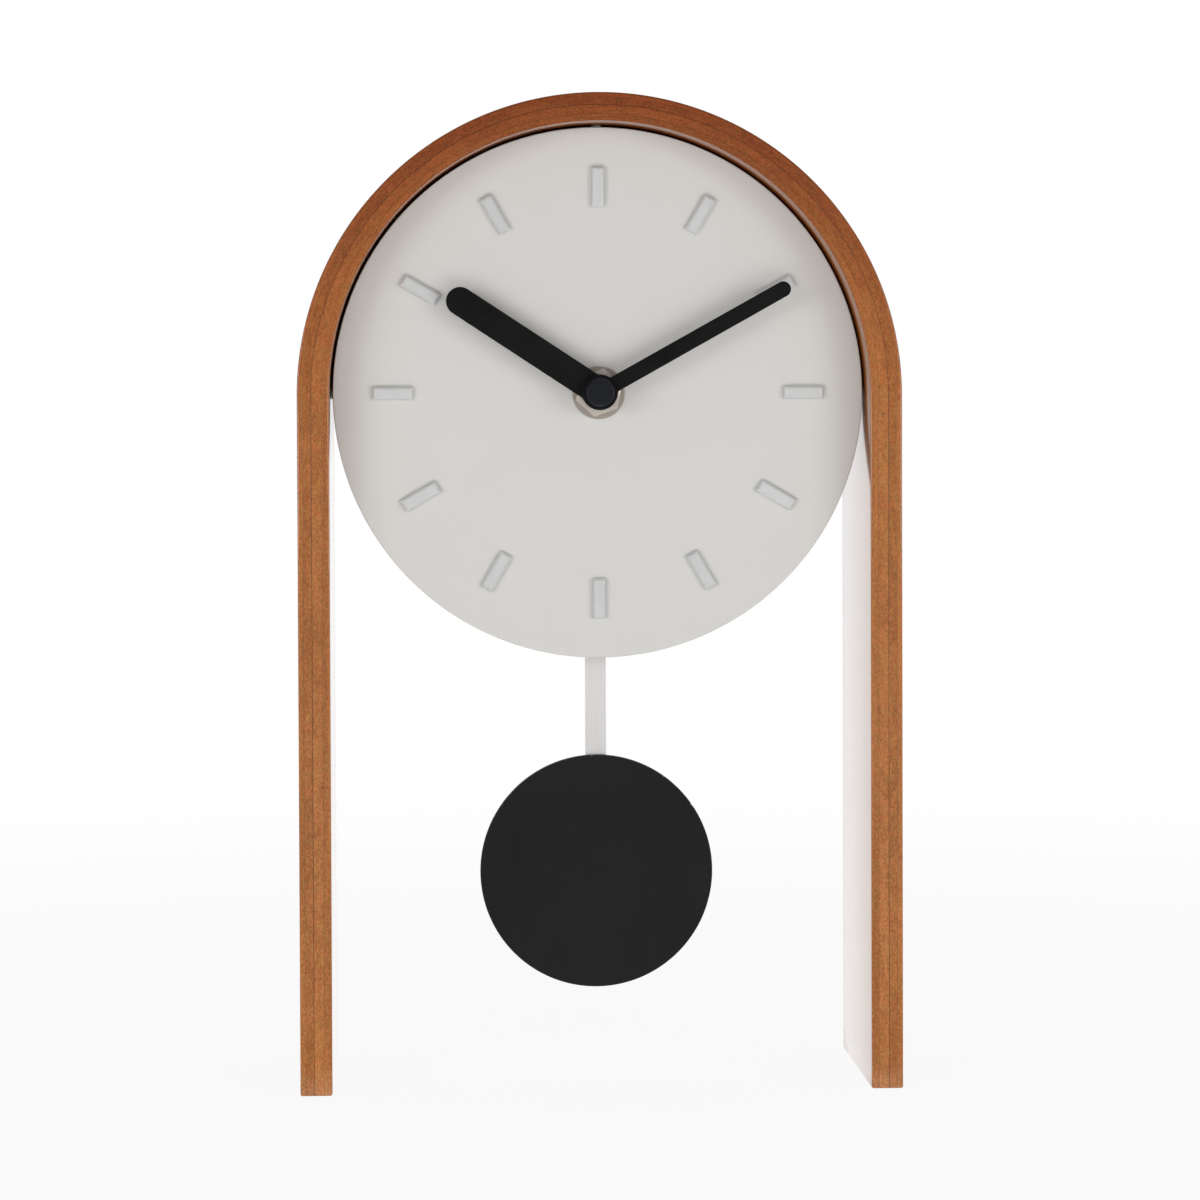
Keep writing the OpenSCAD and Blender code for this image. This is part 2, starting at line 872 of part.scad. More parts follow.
module movement_case_front() {
    color(case_black)
        at_hub()
            difference() {
                union() {
                    difference() {
                        slab(case_y, case_split)
                            case_area(0);
                        slab(inside_y, case_split)
                            case_area(case_wall);
                    }
                    slab(inside_y - join, split_y - inside_y + join)
                        bay_ribs_area();
                    at_case_posts()
                        bar([0, 0], inside_y - join, split_y - inside_y + join, case_post_d);
                    for (at = plate_posts)
                        bar(at, inside_y - join, plate_y - inside_y + join, plate_post_d);
                    for (at = board_posts) {
                        bar(at, inside_y - join, board_y - inside_y + join, board_post_d);
                        bar(at, board_y - join, board_t + board_peg_stand + join, board_peg_d);
                    }
                }
                bar([0, 0], case_y - join, case_wall + 2 * join, bushing_flange_d + 2 * press_gap);
                bar(minute_wheel_at, inside_y - setting_pivot_l, setting_pivot_l + join,
                    setting_pivot_d + 2 * running_gap);
                at_case_posts()
                    bar([0, 0], case_back_y - case_screw_l - screw_tip_gap, case_screw_l,
                        case_screw_d + 2 * press_gap);
                for (at = plate_posts)
                    bar(at, plate_back_y - plate_screw_l - screw_tip_gap, plate_screw_l,
                        plate_screw_d + 2 * press_gap);
            }
}

module movement_case_back() {
    back_depth = case_back_y - split_y;
    socket_y = back_inside_y;
    color(case_black)
        at_hub()
            difference() {
                union() {
                    difference() {
                        slab(split_y, back_depth)
                            case_area(0);
                        slab(split_y - join, back_inside_y - split_y + join)
                            case_area(case_wall);
                    }
                    slab(split_y, back_inside_y - split_y + join)
                        bay_ribs_area();
                    at_case_posts()
                        bar([0, 0], split_y, back_inside_y - split_y + join, case_post_d);
                    bar([0, pivot_rise], back_inside_y - boss_depth, boss_depth + join, boss_d);
                    bar([0, pivot_rise], case_back_y - join, boss_stand + join, boss_d);
                }
                slab(split_y - join, back_depth + 2 * join)
                    bay_area();
                at_case_posts()
                    bar([0, 0], split_y - join, back_depth + 2 * join, case_screw_d + 2 * screw_clearance);
                bar([0, pivot_rise], back_inside_y - boss_depth + tip_gap,
                    boss_depth + case_wall + boss_stand, pivot_d + 2 * press_gap);
                bar(minute_wheel_at, back_inside_y - join, case_wall + 2 * join,
                    setting_arbor_d + 2 * running_gap);
                for (at = [seconds_at, third_at, fifth_at, rotor_at])
                    bar(at, socket_y - join, pivot_socket + join, train_pivot_d + 2 * running_gap);
            }
}

// Screw from the back: shank of length l in front of depth y, slotted head behind it
module screw(at, y, d, l, head_d, head_t) {
    difference() {
        union() {
            bar(at, y - l, l + head_t / 2, d);
            bar(at, y, head_t, head_d);
        }
        translate([at[0], y + head_t, at[1]])
            cube([head_d + join, 2 * screw_slot_depth, screw_slot_w], center = true);
    }
}

module case_screws() {
    color(steel)
        at_hub()
            at_case_posts()
                screw([0, 0], case_back_y, case_screw_d, case_screw_l, case_screw_head_d, case_screw_head_t);
}

// Motion work: the wheels behind the dial that turn the hour hand

module hour_wheel() {
    color(brass)
        at_hub()
            difference() {
                union() {
                    gear([0, 0], hour_wheel_y, motion_t, hour_teeth, hour_module, hour_wheel_phase);
                    bar([0, 0], hour_hand_y - tip_gap / 2, hour_wheel_y - hour_hand_y + tip_gap, pipe_d);
                }
                bar([0, 0], hour_hand_y - join, hour_wheel_y + motion_t - hour_hand_y + 2 * join,
                    pipe_bore_d);
            }
}

module minute_arbor() {
    color(steel)
        at_hub()
            difference() {
                union() {
                    bar([0, 0], cap_y + 2 * tip_gap, minute_hand_back_y - cap_y, arbor_thread_d);
                    bar([0, 0], minute_hand_back_y, arbor_end_y - minute_hand_back_y, arbor_d);
                    gear([0, 0], minute_wheel_y, motion_t, cannon_teeth, motion_module, 0);
                }
                bar([0, 0], arbor_end_y - pivot_socket, pivot_socket + join,
                    train_pivot_d + 2 * running_gap);
            }
}

module minute_wheel() {
    shaft_end = knob_y + knob_grip;
    color(gear_white)
        at_hub() {
            bar(minute_wheel_at, inside_y - setting_pivot_l + 0.2, setting_pivot_l + 0.2, setting_pivot_d);
            gear(minute_wheel_at, hour_wheel_y, motion_t, minute_pinion_teeth, hour_module, 0);
            gear(minute_wheel_at, minute_wheel_y, motion_t, minute_teeth, motion_module,
                 minute_wheel_phase);
            bar(minute_wheel_at, hour_wheel_y, shaft_end - hour_wheel_y, setting_arbor_d);
        }
}

module setting_knob() {
    color(gear_white)
        at_hub()
            difference() {
                bar(minute_wheel_at, knob_y, knob_h, knob_d);
                bar(minute_wheel_at, knob_y - join, knob_grip + join, setting_arbor_d + 2 * press_gap);
            }
}

module train_plate() {
    peg_l = stator_lift + stator_t + stator_peg_stand;
    color(case_black)
        at_hub()
            difference() {
                union() {
                    slab(plate_y, plate_t)
                        box_area(plate_x0, plate_z0, plate_x1, plate_z1);
                    for (at = stator_pegs) {
                        bar(at, plate_y, plate_t + stator_lift, stator_boss_d);
                        bar(at, plate_y, plate_t + peg_l, stator_peg_d);
                    }
                }
                bar([0, 0], plate_y - join, plate_t + 2 * join, arbor_d + 2 * running_gap);
                bar(minute_wheel_at, plate_y - join, plate_t + 2 * join, setting_arbor_d + 2 * running_gap);
                for (at = [third_at, fifth_at, rotor_at])
                    bar(at, plate_y - join, plate_t + 2 * join, train_pivot_d + 2 * running_gap);
                for (at = plate_posts)
                    bar(at, plate_y - join, plate_t + 2 * join, plate_screw_d + 2 * screw_clearance);
            }
}

module plate_screws() {
    color(steel)
        at_hub()
            for (at = plate_posts)
                screw(at, plate_back_y, plate_screw_d, plate_screw_l, plate_screw_head_d,
                      plate_screw_head_t);
}

// Step train: the wheels between the step motor and the hands

// Arbor with a pivot at each end, from its front shoulder to its back shoulder
module train_arbor(at, front) {
    bar(at, front, arbor_back_y - front, train_arbor_d);
    bar(at, front - pivot_l, arbor_back_y - front + 2 * pivot_l, train_pivot_d);
}

module centre_wheel() {
    color(gear_white)
        at_hub()
            difference() {
                gear([0, 0], centre_wheel_y, train_t, centre_teeth, centre_module, 0);
                bar([0, 0], centre_wheel_y - join, train_t + 2 * join, arbor_d + 2 * running_gap);
            }
}

module third_wheel() {
    color(gear_white)
        at_hub() {
            train_arbor(third_at, arbor_front_y);
            gear(third_at, centre_wheel_y, train_t, pinion_teeth, centre_module, third_pinion_phase);
            gear(third_at, third_wheel_y, train_t, third_teeth, third_module, third_wheel_phase);
        }
}

module seconds_wheel() {
    color(gear_white)
        at_hub() {
            train_arbor(seconds_at, arbor_end_y + end_play);
            gear(seconds_at, third_wheel_y, train_t, pinion_teeth, third_module, 0);
            gear(seconds_at, seconds_wheel_y, train_t, seconds_teeth, seconds_module, 0);
        }
}

module fifth_wheel() {
    color(gear_white)
        at_hub() {
            train_arbor(fifth_at, arbor_front_y);
            gear(fifth_at, seconds_wheel_y, train_t, pinion_teeth, seconds_module, fifth_pinion_phase);
            gear(fifth_at, fifth_wheel_y, train_t, fifth_teeth, rotor_module, 0);
        }
}

module rotor() {
    color(gear_white)
        at_hub() {
            train_arbor(rotor_at, arbor_front_y);
            gear(rotor_at, fifth_wheel_y, train_t, pinion_teeth, rotor_module, rotor_pinion_phase);
        }
}

module rotor_magnet() {
    color(steel)
        at_hub()
            difference() {
                bar(rotor_at, rotor_magnet_y, rotor_magnet_l, rotor_magnet_d);
                bar(rotor_at, rotor_magnet_y - join, rotor_magnet_l + 2 * join,
                    train_arbor_d + 2 * press_gap);
            }
}

// Step motor

module stator() {
    x0 = rotor_at[0] - stator_half_w;
    x1 = rotor_at[0] + stator_half_w;
    bar_z0 = rotor_at[1] - stator_bar_h / 2;
    bar_z1 = rotor_at[1] + stator_bar_h / 2;
    color(nickel)
        at_hub()
            difference() {
                slab(stator_y, stator_t)
                    difference() {
                        box_area(x0, bar_z0, x1, stator_top_z);
                        box_area(x0 + stator_arm_w, bar_z1, x1 - stator_arm_w, stator_top_z + join);
                    }
                bar(rotor_at, stator_y - join, stator_t + 2 * join, stator_hole_d);
                for (at = stator_pegs)
                    bar(at, stator_y - join, stator_t + 2 * join, stator_peg_d + 2 * press_gap);
            }
}

module step_coil_core() {
    color(nickel)
        at_hub()
            slab(core_y, core_t)
                box_area(rotor_at[0] - stator_half_w, core_z - core_h / 2,
                         rotor_at[0] + stator_half_w, core_z + core_h / 2);
}

module step_coil_bobbin() {
    x0 = rotor_at[0] - step_coil_l / 2 - coil_flange_t;
    length = step_coil_l + 2 * coil_flange_t;
    color(gear_white)
        at_hub()
            difference() {
                union() {
                    cross_bar(x0, core_mid_y, core_z, length, bobbin_d);
                    for (x = [x0, x0 + length - coil_flange_t])
                        cross_bar(x, core_mid_y, core_z, coil_flange_t, bobbin_flange_d);
                }
                translate([rotor_at[0], core_mid_y, core_z])
                    cube([length + join, core_t + 2 * press_gap, core_h + 2 * press_gap], center = true);
            }
}

module step_coil_winding() {
    x0 = rotor_at[0] - step_coil_l / 2;
    color(copper)
        at_hub()
            difference() {
                cross_bar(x0, core_mid_y, core_z, step_coil_l, step_coil_d);
                cross_bar(x0 - join, core_mid_y, core_z, step_coil_l + 2 * join, bobbin_d + 2 * press_gap);
            }
}

// Electronics

module circuit_board() {
    color(board_green)
        at_hub()
            difference() {
                slab(board_y, board_t)
                    box_area(board_x0, board_z0, board_x1, board_z1);
                for (at = board_posts)
                    bar(at, board_y - join, board_t + 2 * join, board_peg_d + 2 * press_gap);
            }
}

module control_chip() {
    color(case_black)
        at_hub()
            slab(board_y + board_t, chip_t)
                translate(chip_at)
                    square(chip_w, center = true);
}

module quartz_crystal() {
    color(steel)
        at_hub()
            cross_bar(crystal_at[0], board_y + board_t + crystal_d / 2, crystal_at[1], crystal_l, crystal_d);
}

module drive_coil_bobbin() {
    at = [0, -drive_drop];
    color(gear_white)
        at_hub()
            difference() {
                union() {
                    bar(at, drive_coil_y, drive_coil_t, drive_bobbin_d);
                    bar(at, drive_coil_y, drive_bobbin_flange_t, drive_bobbin_flange_d);
                    bar(at, back_inside_y - drive_bobbin_flange_t, drive_bobbin_flange_t,
                        drive_bobbin_flange_d);
                }
                bar(at, drive_coil_y - join, drive_coil_t + 2 * join, drive_bobbin_bore_d);
            }
}

module drive_coil_winding() {
    at = [0, -drive_drop];
    y = drive_coil_y + drive_bobbin_flange_t;
    t = drive_coil_t - 2 * drive_bobbin_flange_t;
    color(copper)
        at_hub()
            difference() {
                bar(at, y, t, drive_coil_d);
                bar(at, y - join, t + 2 * join, drive_bobbin_d + 2 * press_gap);
            }
}

// Battery and its contacts

module battery() {
    body_l = battery_l - battery_nub_h;
    color(battery_grey)
        at_hub()
            translate([battery_x, battery_y, battery_rise - battery_l / 2]) {
                cylinder(h = body_l, d = battery_d);
                cylinder(h = battery_l, d = battery_nub_d);
            }
}

// Sheet-metal spring on the end wall of the bay, bent out to the battery's end
module contact_area() {
    h = contact_room - contact_gap;
    half_top = contact_top / 2;
    half_foot = half_top + h - contact_t;
    half_w = contact_depth / 2;
    bend = contact_t * tan(RIGHT_ANGLE / 4);
    polygon([
        [-half_w, 0],
        [-half_foot, 0],
        [-half_top, h - contact_t],
        [half_top, h - contact_t],
        [half_foot, 0],
        [half_w, 0],
        [half_w, contact_t],
        [half_foot + bend, contact_t],
        [half_top + bend, h],
        [-half_top - bend, h],
        [-half_foot - bend, contact_t],
        [-half_w, contact_t]
    ]);
}

module battery_contact(flip) {
    color(nickel)
        at_hub()
            translate([0, battery_y, battery_rise])
                mirror([0, 0, flip])
                    translate([0, 0, bay_z0 - battery_rise])
                        beam(battery_x - contact_w / 2, contact_w)
                            contact_area();
}

// Pendulum

module hanger_pivot_pin() {
    start_y = back_inside_y - boss_depth + tip_gap;
    color(steel)
        at_hub()
            bar([0, pivot_rise], start_y, hanger_back_y + hanger_back_gap + retainer_t - start_y, pivot_d);
}

module hanger_retainer() {
    y = hanger_back_y + hanger_back_gap;
    color(steel)
        at_hub()
            difference() {
                bar([0, pivot_rise], y, retainer_t, retainer_d);
                bar([0, pivot_rise], y - join, retainer_t + 2 * join, pivot_d + 2 * press_gap);
            }
}

module pendulum_hanger() {
    color(gear_white)
        at_hub() {
            slab(hanger_y, hanger_t)
                difference() {
                    union() {
                        box_area(-hanger_w / 2, -stud_drop, hanger_w / 2, pivot_rise);
                        translate([0, pivot_rise])
                            circle(d = hanger_eye_d);
                        translate([0, -drive_drop])
                            circle(d = hanger_boss_d);
                        translate([0, -stud_drop])
                            circle(d = hanger_boss_d);
                    }
                    translate([0, pivot_rise])
                        circle(d = pivot_d + 2 * running_gap);
                    translate([0, -drive_drop])
                        circle(d = hanger_magnet_d + 2 * press_gap);
                }
            bar([0, -stud_drop], hanger_y, hanger_t + rod_t + stud_play + stud_head_t, stud_d);
            bar([0, -stud_drop], rod_back_y + stud_play, stud_head_t, stud_head_d);
        }
}

module hanger_magnet() {
    color(steel)
        at_hub()
            bar([0, -drive_drop], hanger_y - magnet_stand, hanger_t + magnet_stand, hanger_magnet_d);
}

// Flat strip with a wider tab at the top, which hangs by a keyhole on the stud
module pendulum_rod() {
    stud_z = hub_z - stud_drop;
    slot_w = stud_d + 2 * stud_play;
    color(aluminium)
        slab(rod_y, rod_t)
            difference() {
                union() {
                    box_area(-rod_w / 2, bob_z - rod_tail, rod_w / 2, stud_z);
                    translate([0, stud_z + (rod_tab_above - rod_tab_below) / 2])
                        round_rect(rod_tab_w, rod_tab_above + rod_tab_below, rod_tab_r);
                }
                translate([0, stud_z])
                    circle(d = slot_w);
                box_area(-slot_w / 2, stud_z - keyhole_drop, slot_w / 2, stud_z);
                translate([0, stud_z - keyhole_drop])
                    circle(d = keyhole_d);
            }
}

module pendulum_bob() {
    color(bob_black)
        difference() {
            translate([0, 0, bob_z])
                bar([0, 0], bob_y, bob_t, bob_d);
            for (side = [-1, 1])
                bar([side * clip_screw_x, bob_z], rod_y - clip_screw_grip - screw_clearance,
                    clip_screw_grip + screw_clearance + join, clip_screw_d + 2 * press_gap);
        }
}

// Strap on the back of the bob, with a channel that holds the rod
module bob_clip() {
    color(steel)
        difference() {
            slab(rod_y, rod_t + clip_cover)
                translate([0, bob_z])
                    square([clip_w, clip_h], center = true);
            slab(rod_y - join, rod_t + join)
                translate([0, bob_z])
                    square([rod_w + 2 * clip_play, clip_h + join], center = true);
            for (side = [-1, 1])
                bar([side * clip_screw_x, bob_z], rod_y - join, rod_t + clip_cover + 2 * join,
                    clip_screw_d + 2 * press_gap);
        }
}

module bob_clip_screws() {
    head_y = rod_y + rod_t + clip_cover;
    color(steel)
        for (side = [-1, 1])
            screw([side * clip_screw_x, bob_z], head_y, clip_screw_d, rod_t + clip_cover + clip_screw_grip,
                  clip_screw_head_d, clip_screw_head_t);
}

arch_outer_face_ply();
arch_outer_core_ply();
arch_inner_core_ply();
arch_inner_face_ply();
dial_disc();
dial_pins();
dial_gap_felt();
for (hour = [1:HOURS])
    hour_marker(hour);
centre_bushing();
fixing_washer();
fixing_nut();
hour_hand();
minute_hand();
hand_nut();
movement_case_front();
movement_case_back();
case_screws();
hour_wheel();
minute_arbor();
minute_wheel();
setting_knob();
train_plate();
plate_screws();
centre_wheel();
third_wheel();
seconds_wheel();
fifth_wheel();
rotor();
rotor_magnet();
stator();
step_coil_core();
step_coil_bobbin();
step_coil_winding();
circuit_board();
control_chip();
quartz_crystal();
drive_coil_bobbin();
drive_coil_winding();
battery();
battery_contact(0);  // battery_contact_negative
battery_contact(1);  // battery_contact_positive
hanger_pivot_pin();
hanger_retainer();
pendulum_hanger();
hanger_magnet();
pendulum_rod();
pendulum_bob();
bob_clip();
bob_clip_screws();
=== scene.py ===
import math

import bmesh
import bpy
import numpy as np
from bpy.props import FloatProperty, FloatVectorProperty, PointerProperty
from bpy.types import Operator, Panel, PropertyGroup
from mathutils import Matrix, Vector


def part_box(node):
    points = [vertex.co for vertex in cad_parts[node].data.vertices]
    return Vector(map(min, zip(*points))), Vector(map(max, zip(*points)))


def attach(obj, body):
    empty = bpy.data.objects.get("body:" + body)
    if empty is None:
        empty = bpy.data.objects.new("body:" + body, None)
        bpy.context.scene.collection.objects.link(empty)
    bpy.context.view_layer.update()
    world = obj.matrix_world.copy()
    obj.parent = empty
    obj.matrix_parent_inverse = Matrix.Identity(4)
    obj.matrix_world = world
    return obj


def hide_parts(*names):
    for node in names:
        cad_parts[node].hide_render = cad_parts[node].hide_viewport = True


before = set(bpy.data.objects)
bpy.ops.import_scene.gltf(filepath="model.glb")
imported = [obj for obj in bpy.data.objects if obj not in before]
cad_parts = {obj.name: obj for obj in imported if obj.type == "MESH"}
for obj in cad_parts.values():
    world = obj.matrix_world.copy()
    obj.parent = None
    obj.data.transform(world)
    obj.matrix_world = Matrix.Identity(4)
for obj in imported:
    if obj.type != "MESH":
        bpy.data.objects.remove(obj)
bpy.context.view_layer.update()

bl_info = {
    "name": "Desk pendulum clock",
    "version": (1, 0, 0),
    "blender": (4, 5, 0),
    "location": "3D View > Sidebar > Clock",
    "description": "Bent plywood arch with a white dial, two hands and a disc pendulum",
    "category": "Object",
}

# Places that the CAD frame gives, in metres.
ARCH_LOW, ARCH_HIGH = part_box("arch_outer_face_ply")
ARCH_RADIUS = (ARCH_HIGH.x - ARCH_LOW.x) / 2
LEG_HEIGHT = ARCH_HIGH.z - ARCH_RADIUS
LEG_THICKNESS, CROWN_THICKNESS = 0.009, 0.008
DIAL_LOW, DIAL_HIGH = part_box("dial_disc")
HUB_X, HUB_Z = HUB = 0.0, (DIAL_LOW.z + DIAL_HIGH.z) / 2
CENTRE_HOLE = 0.0041
TURN = 2 * math.pi

# The plies from the outer face to the inner one. Each lies between two of the shares of the thickness,
# and at each share lies a glue line of the strength given. A tone is added to the share of dark stain,
# and the bend darkens a ply by its own amount, partly as darker stain and partly as painted shade.
PLY_NODES = ("arch_outer_face_ply", "arch_outer_core_ply", "arch_inner_core_ply", "arch_inner_face_ply")
PLY_SHARES = (0.0, 0.18, 0.44, 0.76, 1.0)
GLUE_LINES = (0.0, 0.26, 0.85, 0.36, 0.0)
PLY_TONES = (-0.18, -0.06, -0.26, -0.18)
PLY_BEND_STAIN_AND_SHADE = (1.0, 0.95, 0.85, 0.7)

# The hands: node, half width at hub and tip, reach of the tip, radius of the hole, and angle in
# degrees.
HANDS = (
    ("hour_hand", 0.004, 0.004, 0.0509, 0.00232, 303.3),
    ("minute_hand", 0.00225, 0.0022, 0.0615, 0.00127, 60.8),
)


# Settings that a user would change.


def shade(name, piece, default):
    return FloatVectorProperty(
        name=name, description=f"Colour of the {piece}", default=default, subtype="COLOR", min=0, max=1
    )


def number(name, description, default, low, high, **options):
    return FloatProperty(name=name, description=description, default=default, min=low, max=high, **options)


def length(name, description, default, low, high):
    return number(name, description, default, low, high, unit="LENGTH", subtype="DISTANCE", precision=5)


def watts(name, description, default):
    return number(name, description, default, 0, 100, unit="POWER")


class ArchSettings(PropertyGroup):
    """Sizes and colours of the bent plywood arch"""

    light_stain: shade("Light stain", "lighter wood", (0.50, 0.190, 0.037))
    dark_stain: shade("Dark stain", "darker wood", (0.285, 0.093, 0.013))
    pore: shade("Pores", "pores and of the glue lines", (0.075, 0.026, 0.011))
    edge_round: length("Edge round", "Radius of the arch's eased edges", 0.0006, 0.0002, 0.001)
    glue_width: length("Glue line", "Width of a glue line", 0.00014, 0.00005, 0.0004)


class DialSettings(PropertyGroup):
    """Sizes and colours of the dial and its markers"""

    lacquer: shade("Lacquer", "dial", (0.63, 0.62, 0.595))
    felt: shade("Felt", "felt in the gap round the dial", (0.006, 0.006, 0.006))
    marker: shade("Markers", "hour markers", (0.60, 0.615, 0.61))
    edge_round: length("Edge round", "Radius of the dial's rim edges", 0.0004, 0.0001, 0.001)
    marker_round: length("Marker corner", "Corner radius of a marker", 0.0004, 0.0001, 0.001)
    marker_bevel: length("Marker bevel", "Width of a marker's bevel", 0.0007, 0.0003, 0.001)


class HandSettings(PropertyGroup):
    """Sizes and colours of the hands and the parts that hold them"""

    black: shade("Black paint", "hands", (0.0062, 0.0062, 0.0065))
    cap: shade("Closed nut", "closed nut", (0.0100, 0.0128, 0.0165))
    nickel: shade("Nickel", "washer and the hex nut", (0.55, 0.50, 0.44))
    brass: shade("Brass", "threaded bushing", (0.66, 0.50, 0.24))
    sheet_round: length("Sheet edge", "Radius of the hands' punched edges", 0.00012, 0.00005, 0.0003)


class PendulumSettings(PropertyGroup):
    """Sizes and colours of the pendulum"""

    bob: shade("Bob", "bob's matte paint", (0.0148, 0.0148, 0.0148))
    metal: shade("Rod", "rod and of the bob under its paint", (0.78, 0.775, 0.77))
    rim_round: length("Bob rim", "Radius of the bob's rim edges", 0.00025, 0.0001, 0.0008)


class MovementSettings(PropertyGroup):
    """Colours of the movement and its battery"""

    case: shade("Case", "case's textured plastic", (0.018, 0.018, 0.020))
    white_plastic: shade("White plastic", "wheels and the knob", (0.78, 0.76, 0.69))
    steel: shade("Steel", "screws and pins", (0.46, 0.47, 0.49))
    iron: shade("Soft iron", "stator and the coil core", (0.40, 0.385, 0.37))
    copper: shade("Copper", "coil wire", (0.62, 0.23, 0.085))
    board: shade("Board", "circuit board", (0.03, 0.15, 0.06))
    sleeve: shade("Battery", "battery's sleeve", (0.11, 0.13, 0.15))


class StageSettings(PropertyGroup):
    """Floor, light and camera"""

    floor: shade("Floor", "floor", (0.92, 0.92, 0.92))
    sky_level: number("Sky level", "Even light from all round", 0.40, 0, 2)
    wall_level: number("Wall level", "Even light from the wall behind the clock", 0.95, 0, 2)
    ceiling_share: number("Ceiling share", "Share of the even light that comes from above", 0.4, 0, 1)
    room_level: number("Room level", "Brightness of the room in reflections", 0.06, 0, 1)
    floor_white: number("Floor white", "Share of white that the eye sees in the floor", 0.92, 0, 1)
    front_power: watts("Front power", "Power of the broad front lamp", 2.2)
    low_power: watts("Low power", "Power of the low lamp in front of the clock", 1.02)
    side_power: watts("Side power", "Power of each of the two side lamps", 5.4)
    focal_length: number("Focal length", "Camera lens in millimetres", 104.03, 20, 300)
    lens_shift: number("Lens shift", "Share of the frame that the lens is moved up", -0.0708, -0.2, 0.2)


GROUPS = {
    "clock_arch": ArchSettings,
    "clock_dial": DialSettings,
    "clock_hands": HandSettings,
    "clock_pendulum": PendulumSettings,
    "clock_movement": MovementSettings,
    "clock_stage": StageSettings,
}


# Surfaces worked out with numpy.


def surface(name, points, ring=False, caps=True, crease=40, board=None):
    """Mesh over a grid of points: quads join each row to the next one and each column to the next, and
    the last column to the first. A ring joins its last row to the first as well, and otherwise caps
    closes both with one face each. Edges that turn by more than crease degrees stay sharp. board is
    stored at the points as the attribute board."""
    rows, columns = points.shape[:2]
    row, column = np.arange(rows if ring else rows - 1)[:, None], np.arange(columns)
    next_row, next_column = (row + 1) % rows, (column + 1) % columns
    corners = [(row, column), (next_row, column), (next_row, next_column), (row, next_column)]
    faces = np.stack([r * columns + c for r, c in corners], axis=-1).reshape(-1, 4).tolist()
    if caps and not ring:
        faces += [column.tolist(), (column + (rows - 1) * columns).tolist()]
    mesh = bpy.data.meshes.new(name)
    mesh.from_pydata(points.reshape(-1, 3), [], faces)
    if board is not None:
        stored = mesh.attributes.new("board", "FLOAT_VECTOR", "POINT")
        stored.data.foreach_set("vector", board.astype(np.float32).ravel())
    made = bmesh.new()
    made.from_mesh(mesh)
    bmesh.ops.remove_doubles(made, verts=made.verts, dist=1e-7)
    bmesh.ops.recalc_face_normals(made, faces=made.faces)
    made.to_mesh(mesh)
    made.free()
    mesh.polygons.foreach_set("use_smooth", np.ones(len(mesh.polygons), bool))
    mesh.set_sharp_from_angle(angle=math.radians(crease))
    piece = bpy.data.objects.new(name, mesh)
    bpy.context.scene.collection.objects.link(piece)
    return piece


def rounded(corners, radii, steps=4):
    """Closed outline whose corners are eased: between the points that lie a radius before and after a
    corner runs the curve (1-t)^2 before + 2t(1-t) corner + t^2 after."""
    corners = np.asarray(corners, float)
    radii = np.broadcast_to(np.asarray(radii, float), len(corners))[:, None]

    def towards(other):
        step = other - corners
        return corners + step / np.linalg.norm(step, axis=1, keepdims=True) * radii

    before, after = towards(np.roll(corners, 1, axis=0)), towards(np.roll(corners, -1, axis=0))
    t = np.linspace(0, 1, steps)[None, :, None]
    curve = (1 - t) ** 2 * before[:, None] + 2 * t * (1 - t) * corners[:, None] + t**2 * after[:, None]
    return curve.reshape(-1, 2)


def rounded_rectangle(half_width, half_height, corner, steps):
    a, b = half_width, half_height
    return rounded([[-a, -b], [a, -b], [a, b], [-a, b]], corner, steps)


def eased_line(corners, radii, steps=4):
    """Open line through the corners, with every inner corner eased by its radius as in rounded."""
    corners = np.asarray(corners, float)
    radii = np.broadcast_to(np.asarray(radii, float), len(corners) - 2)
    ends = np.concatenate([[1e-9], radii, [1e-9]])
    return np.concatenate([corners[:1], rounded(corners, ends, steps)[steps:-steps], corners[-1:]])


def ring_angles(count):
    return np.linspace(0, TURN, count, endpoint=False)


def around(name, angles, rows, centre=HUB, **options):
    """Surface round an axis along Y. Each row is a radius and a depth, as one number or as one for each
    angle, clockwise from the top, so a point is (x + radius sin angle, depth, z + radius cos angle)."""
    radius, depth = (np.stack([np.broadcast_to(row[part], angles.shape) for row in rows]) for part in (0, 1))
    x, z = centre[0] + radius * np.sin(angles), centre[1] + radius * np.cos(angles)
    return surface(name, np.stack([x, depth, z], axis=-1), **options)


def turned(name, section, centre=HUB, count=180, **options):
    """Turned part: a section of (radius, depth) points goes once round the axis. With ring it is a
    closed section."""
    return around(name, ring_angles(count), section, centre, **options)


def on_dial(across, depth, up, turn):
    """Points in front of the dial: (across, up) from the hub, turned clockwise, is (across cos turn +
    up sin turn, up cos turn - across sin turn)."""
    x = HUB_X + across * math.cos(turn) + up * math.sin(turn)
    z = HUB_Z - across * math.sin(turn) + up * math.cos(turn)
    return np.stack([x, np.broadcast_to(depth, x.shape), z], axis=-1)


def bent(thickness, along):
    """Point on the bent board. thickness runs from 0 on the outer face to the leg's thickness on the
    inner face. along runs up the left leg from 0 to 1, over the half circle from 1 to 2, and down the
    right leg from 2 to 3. Each face is a half circle on two straight legs, and the circle's centre
    rises by the share of the thickness."""
    radius = ARCH_RADIUS - thickness
    centre = LEG_HEIGHT + thickness / LEG_THICKNESS * (LEG_THICKNESS - CROWN_THICKNESS)
    turn = math.pi * np.clip(along - 1, 0, 1)
    rise = np.clip(along, 0, 1) - np.clip(along - 2, 0, 1)
    return -radius * np.cos(turn), centre * rise + radius * np.sin(turn)


def straightened(along):
    """Length from the left foot to a place on the bent board, along its middle."""
    arc = math.pi * (ARCH_RADIUS - LEG_THICKNESS / 2)
    legs = np.clip(along, 0, 1) + np.clip(along - 2, 0, 1)
    return LEG_HEIGHT * legs + arc * np.clip(along - 1, 0, 1)


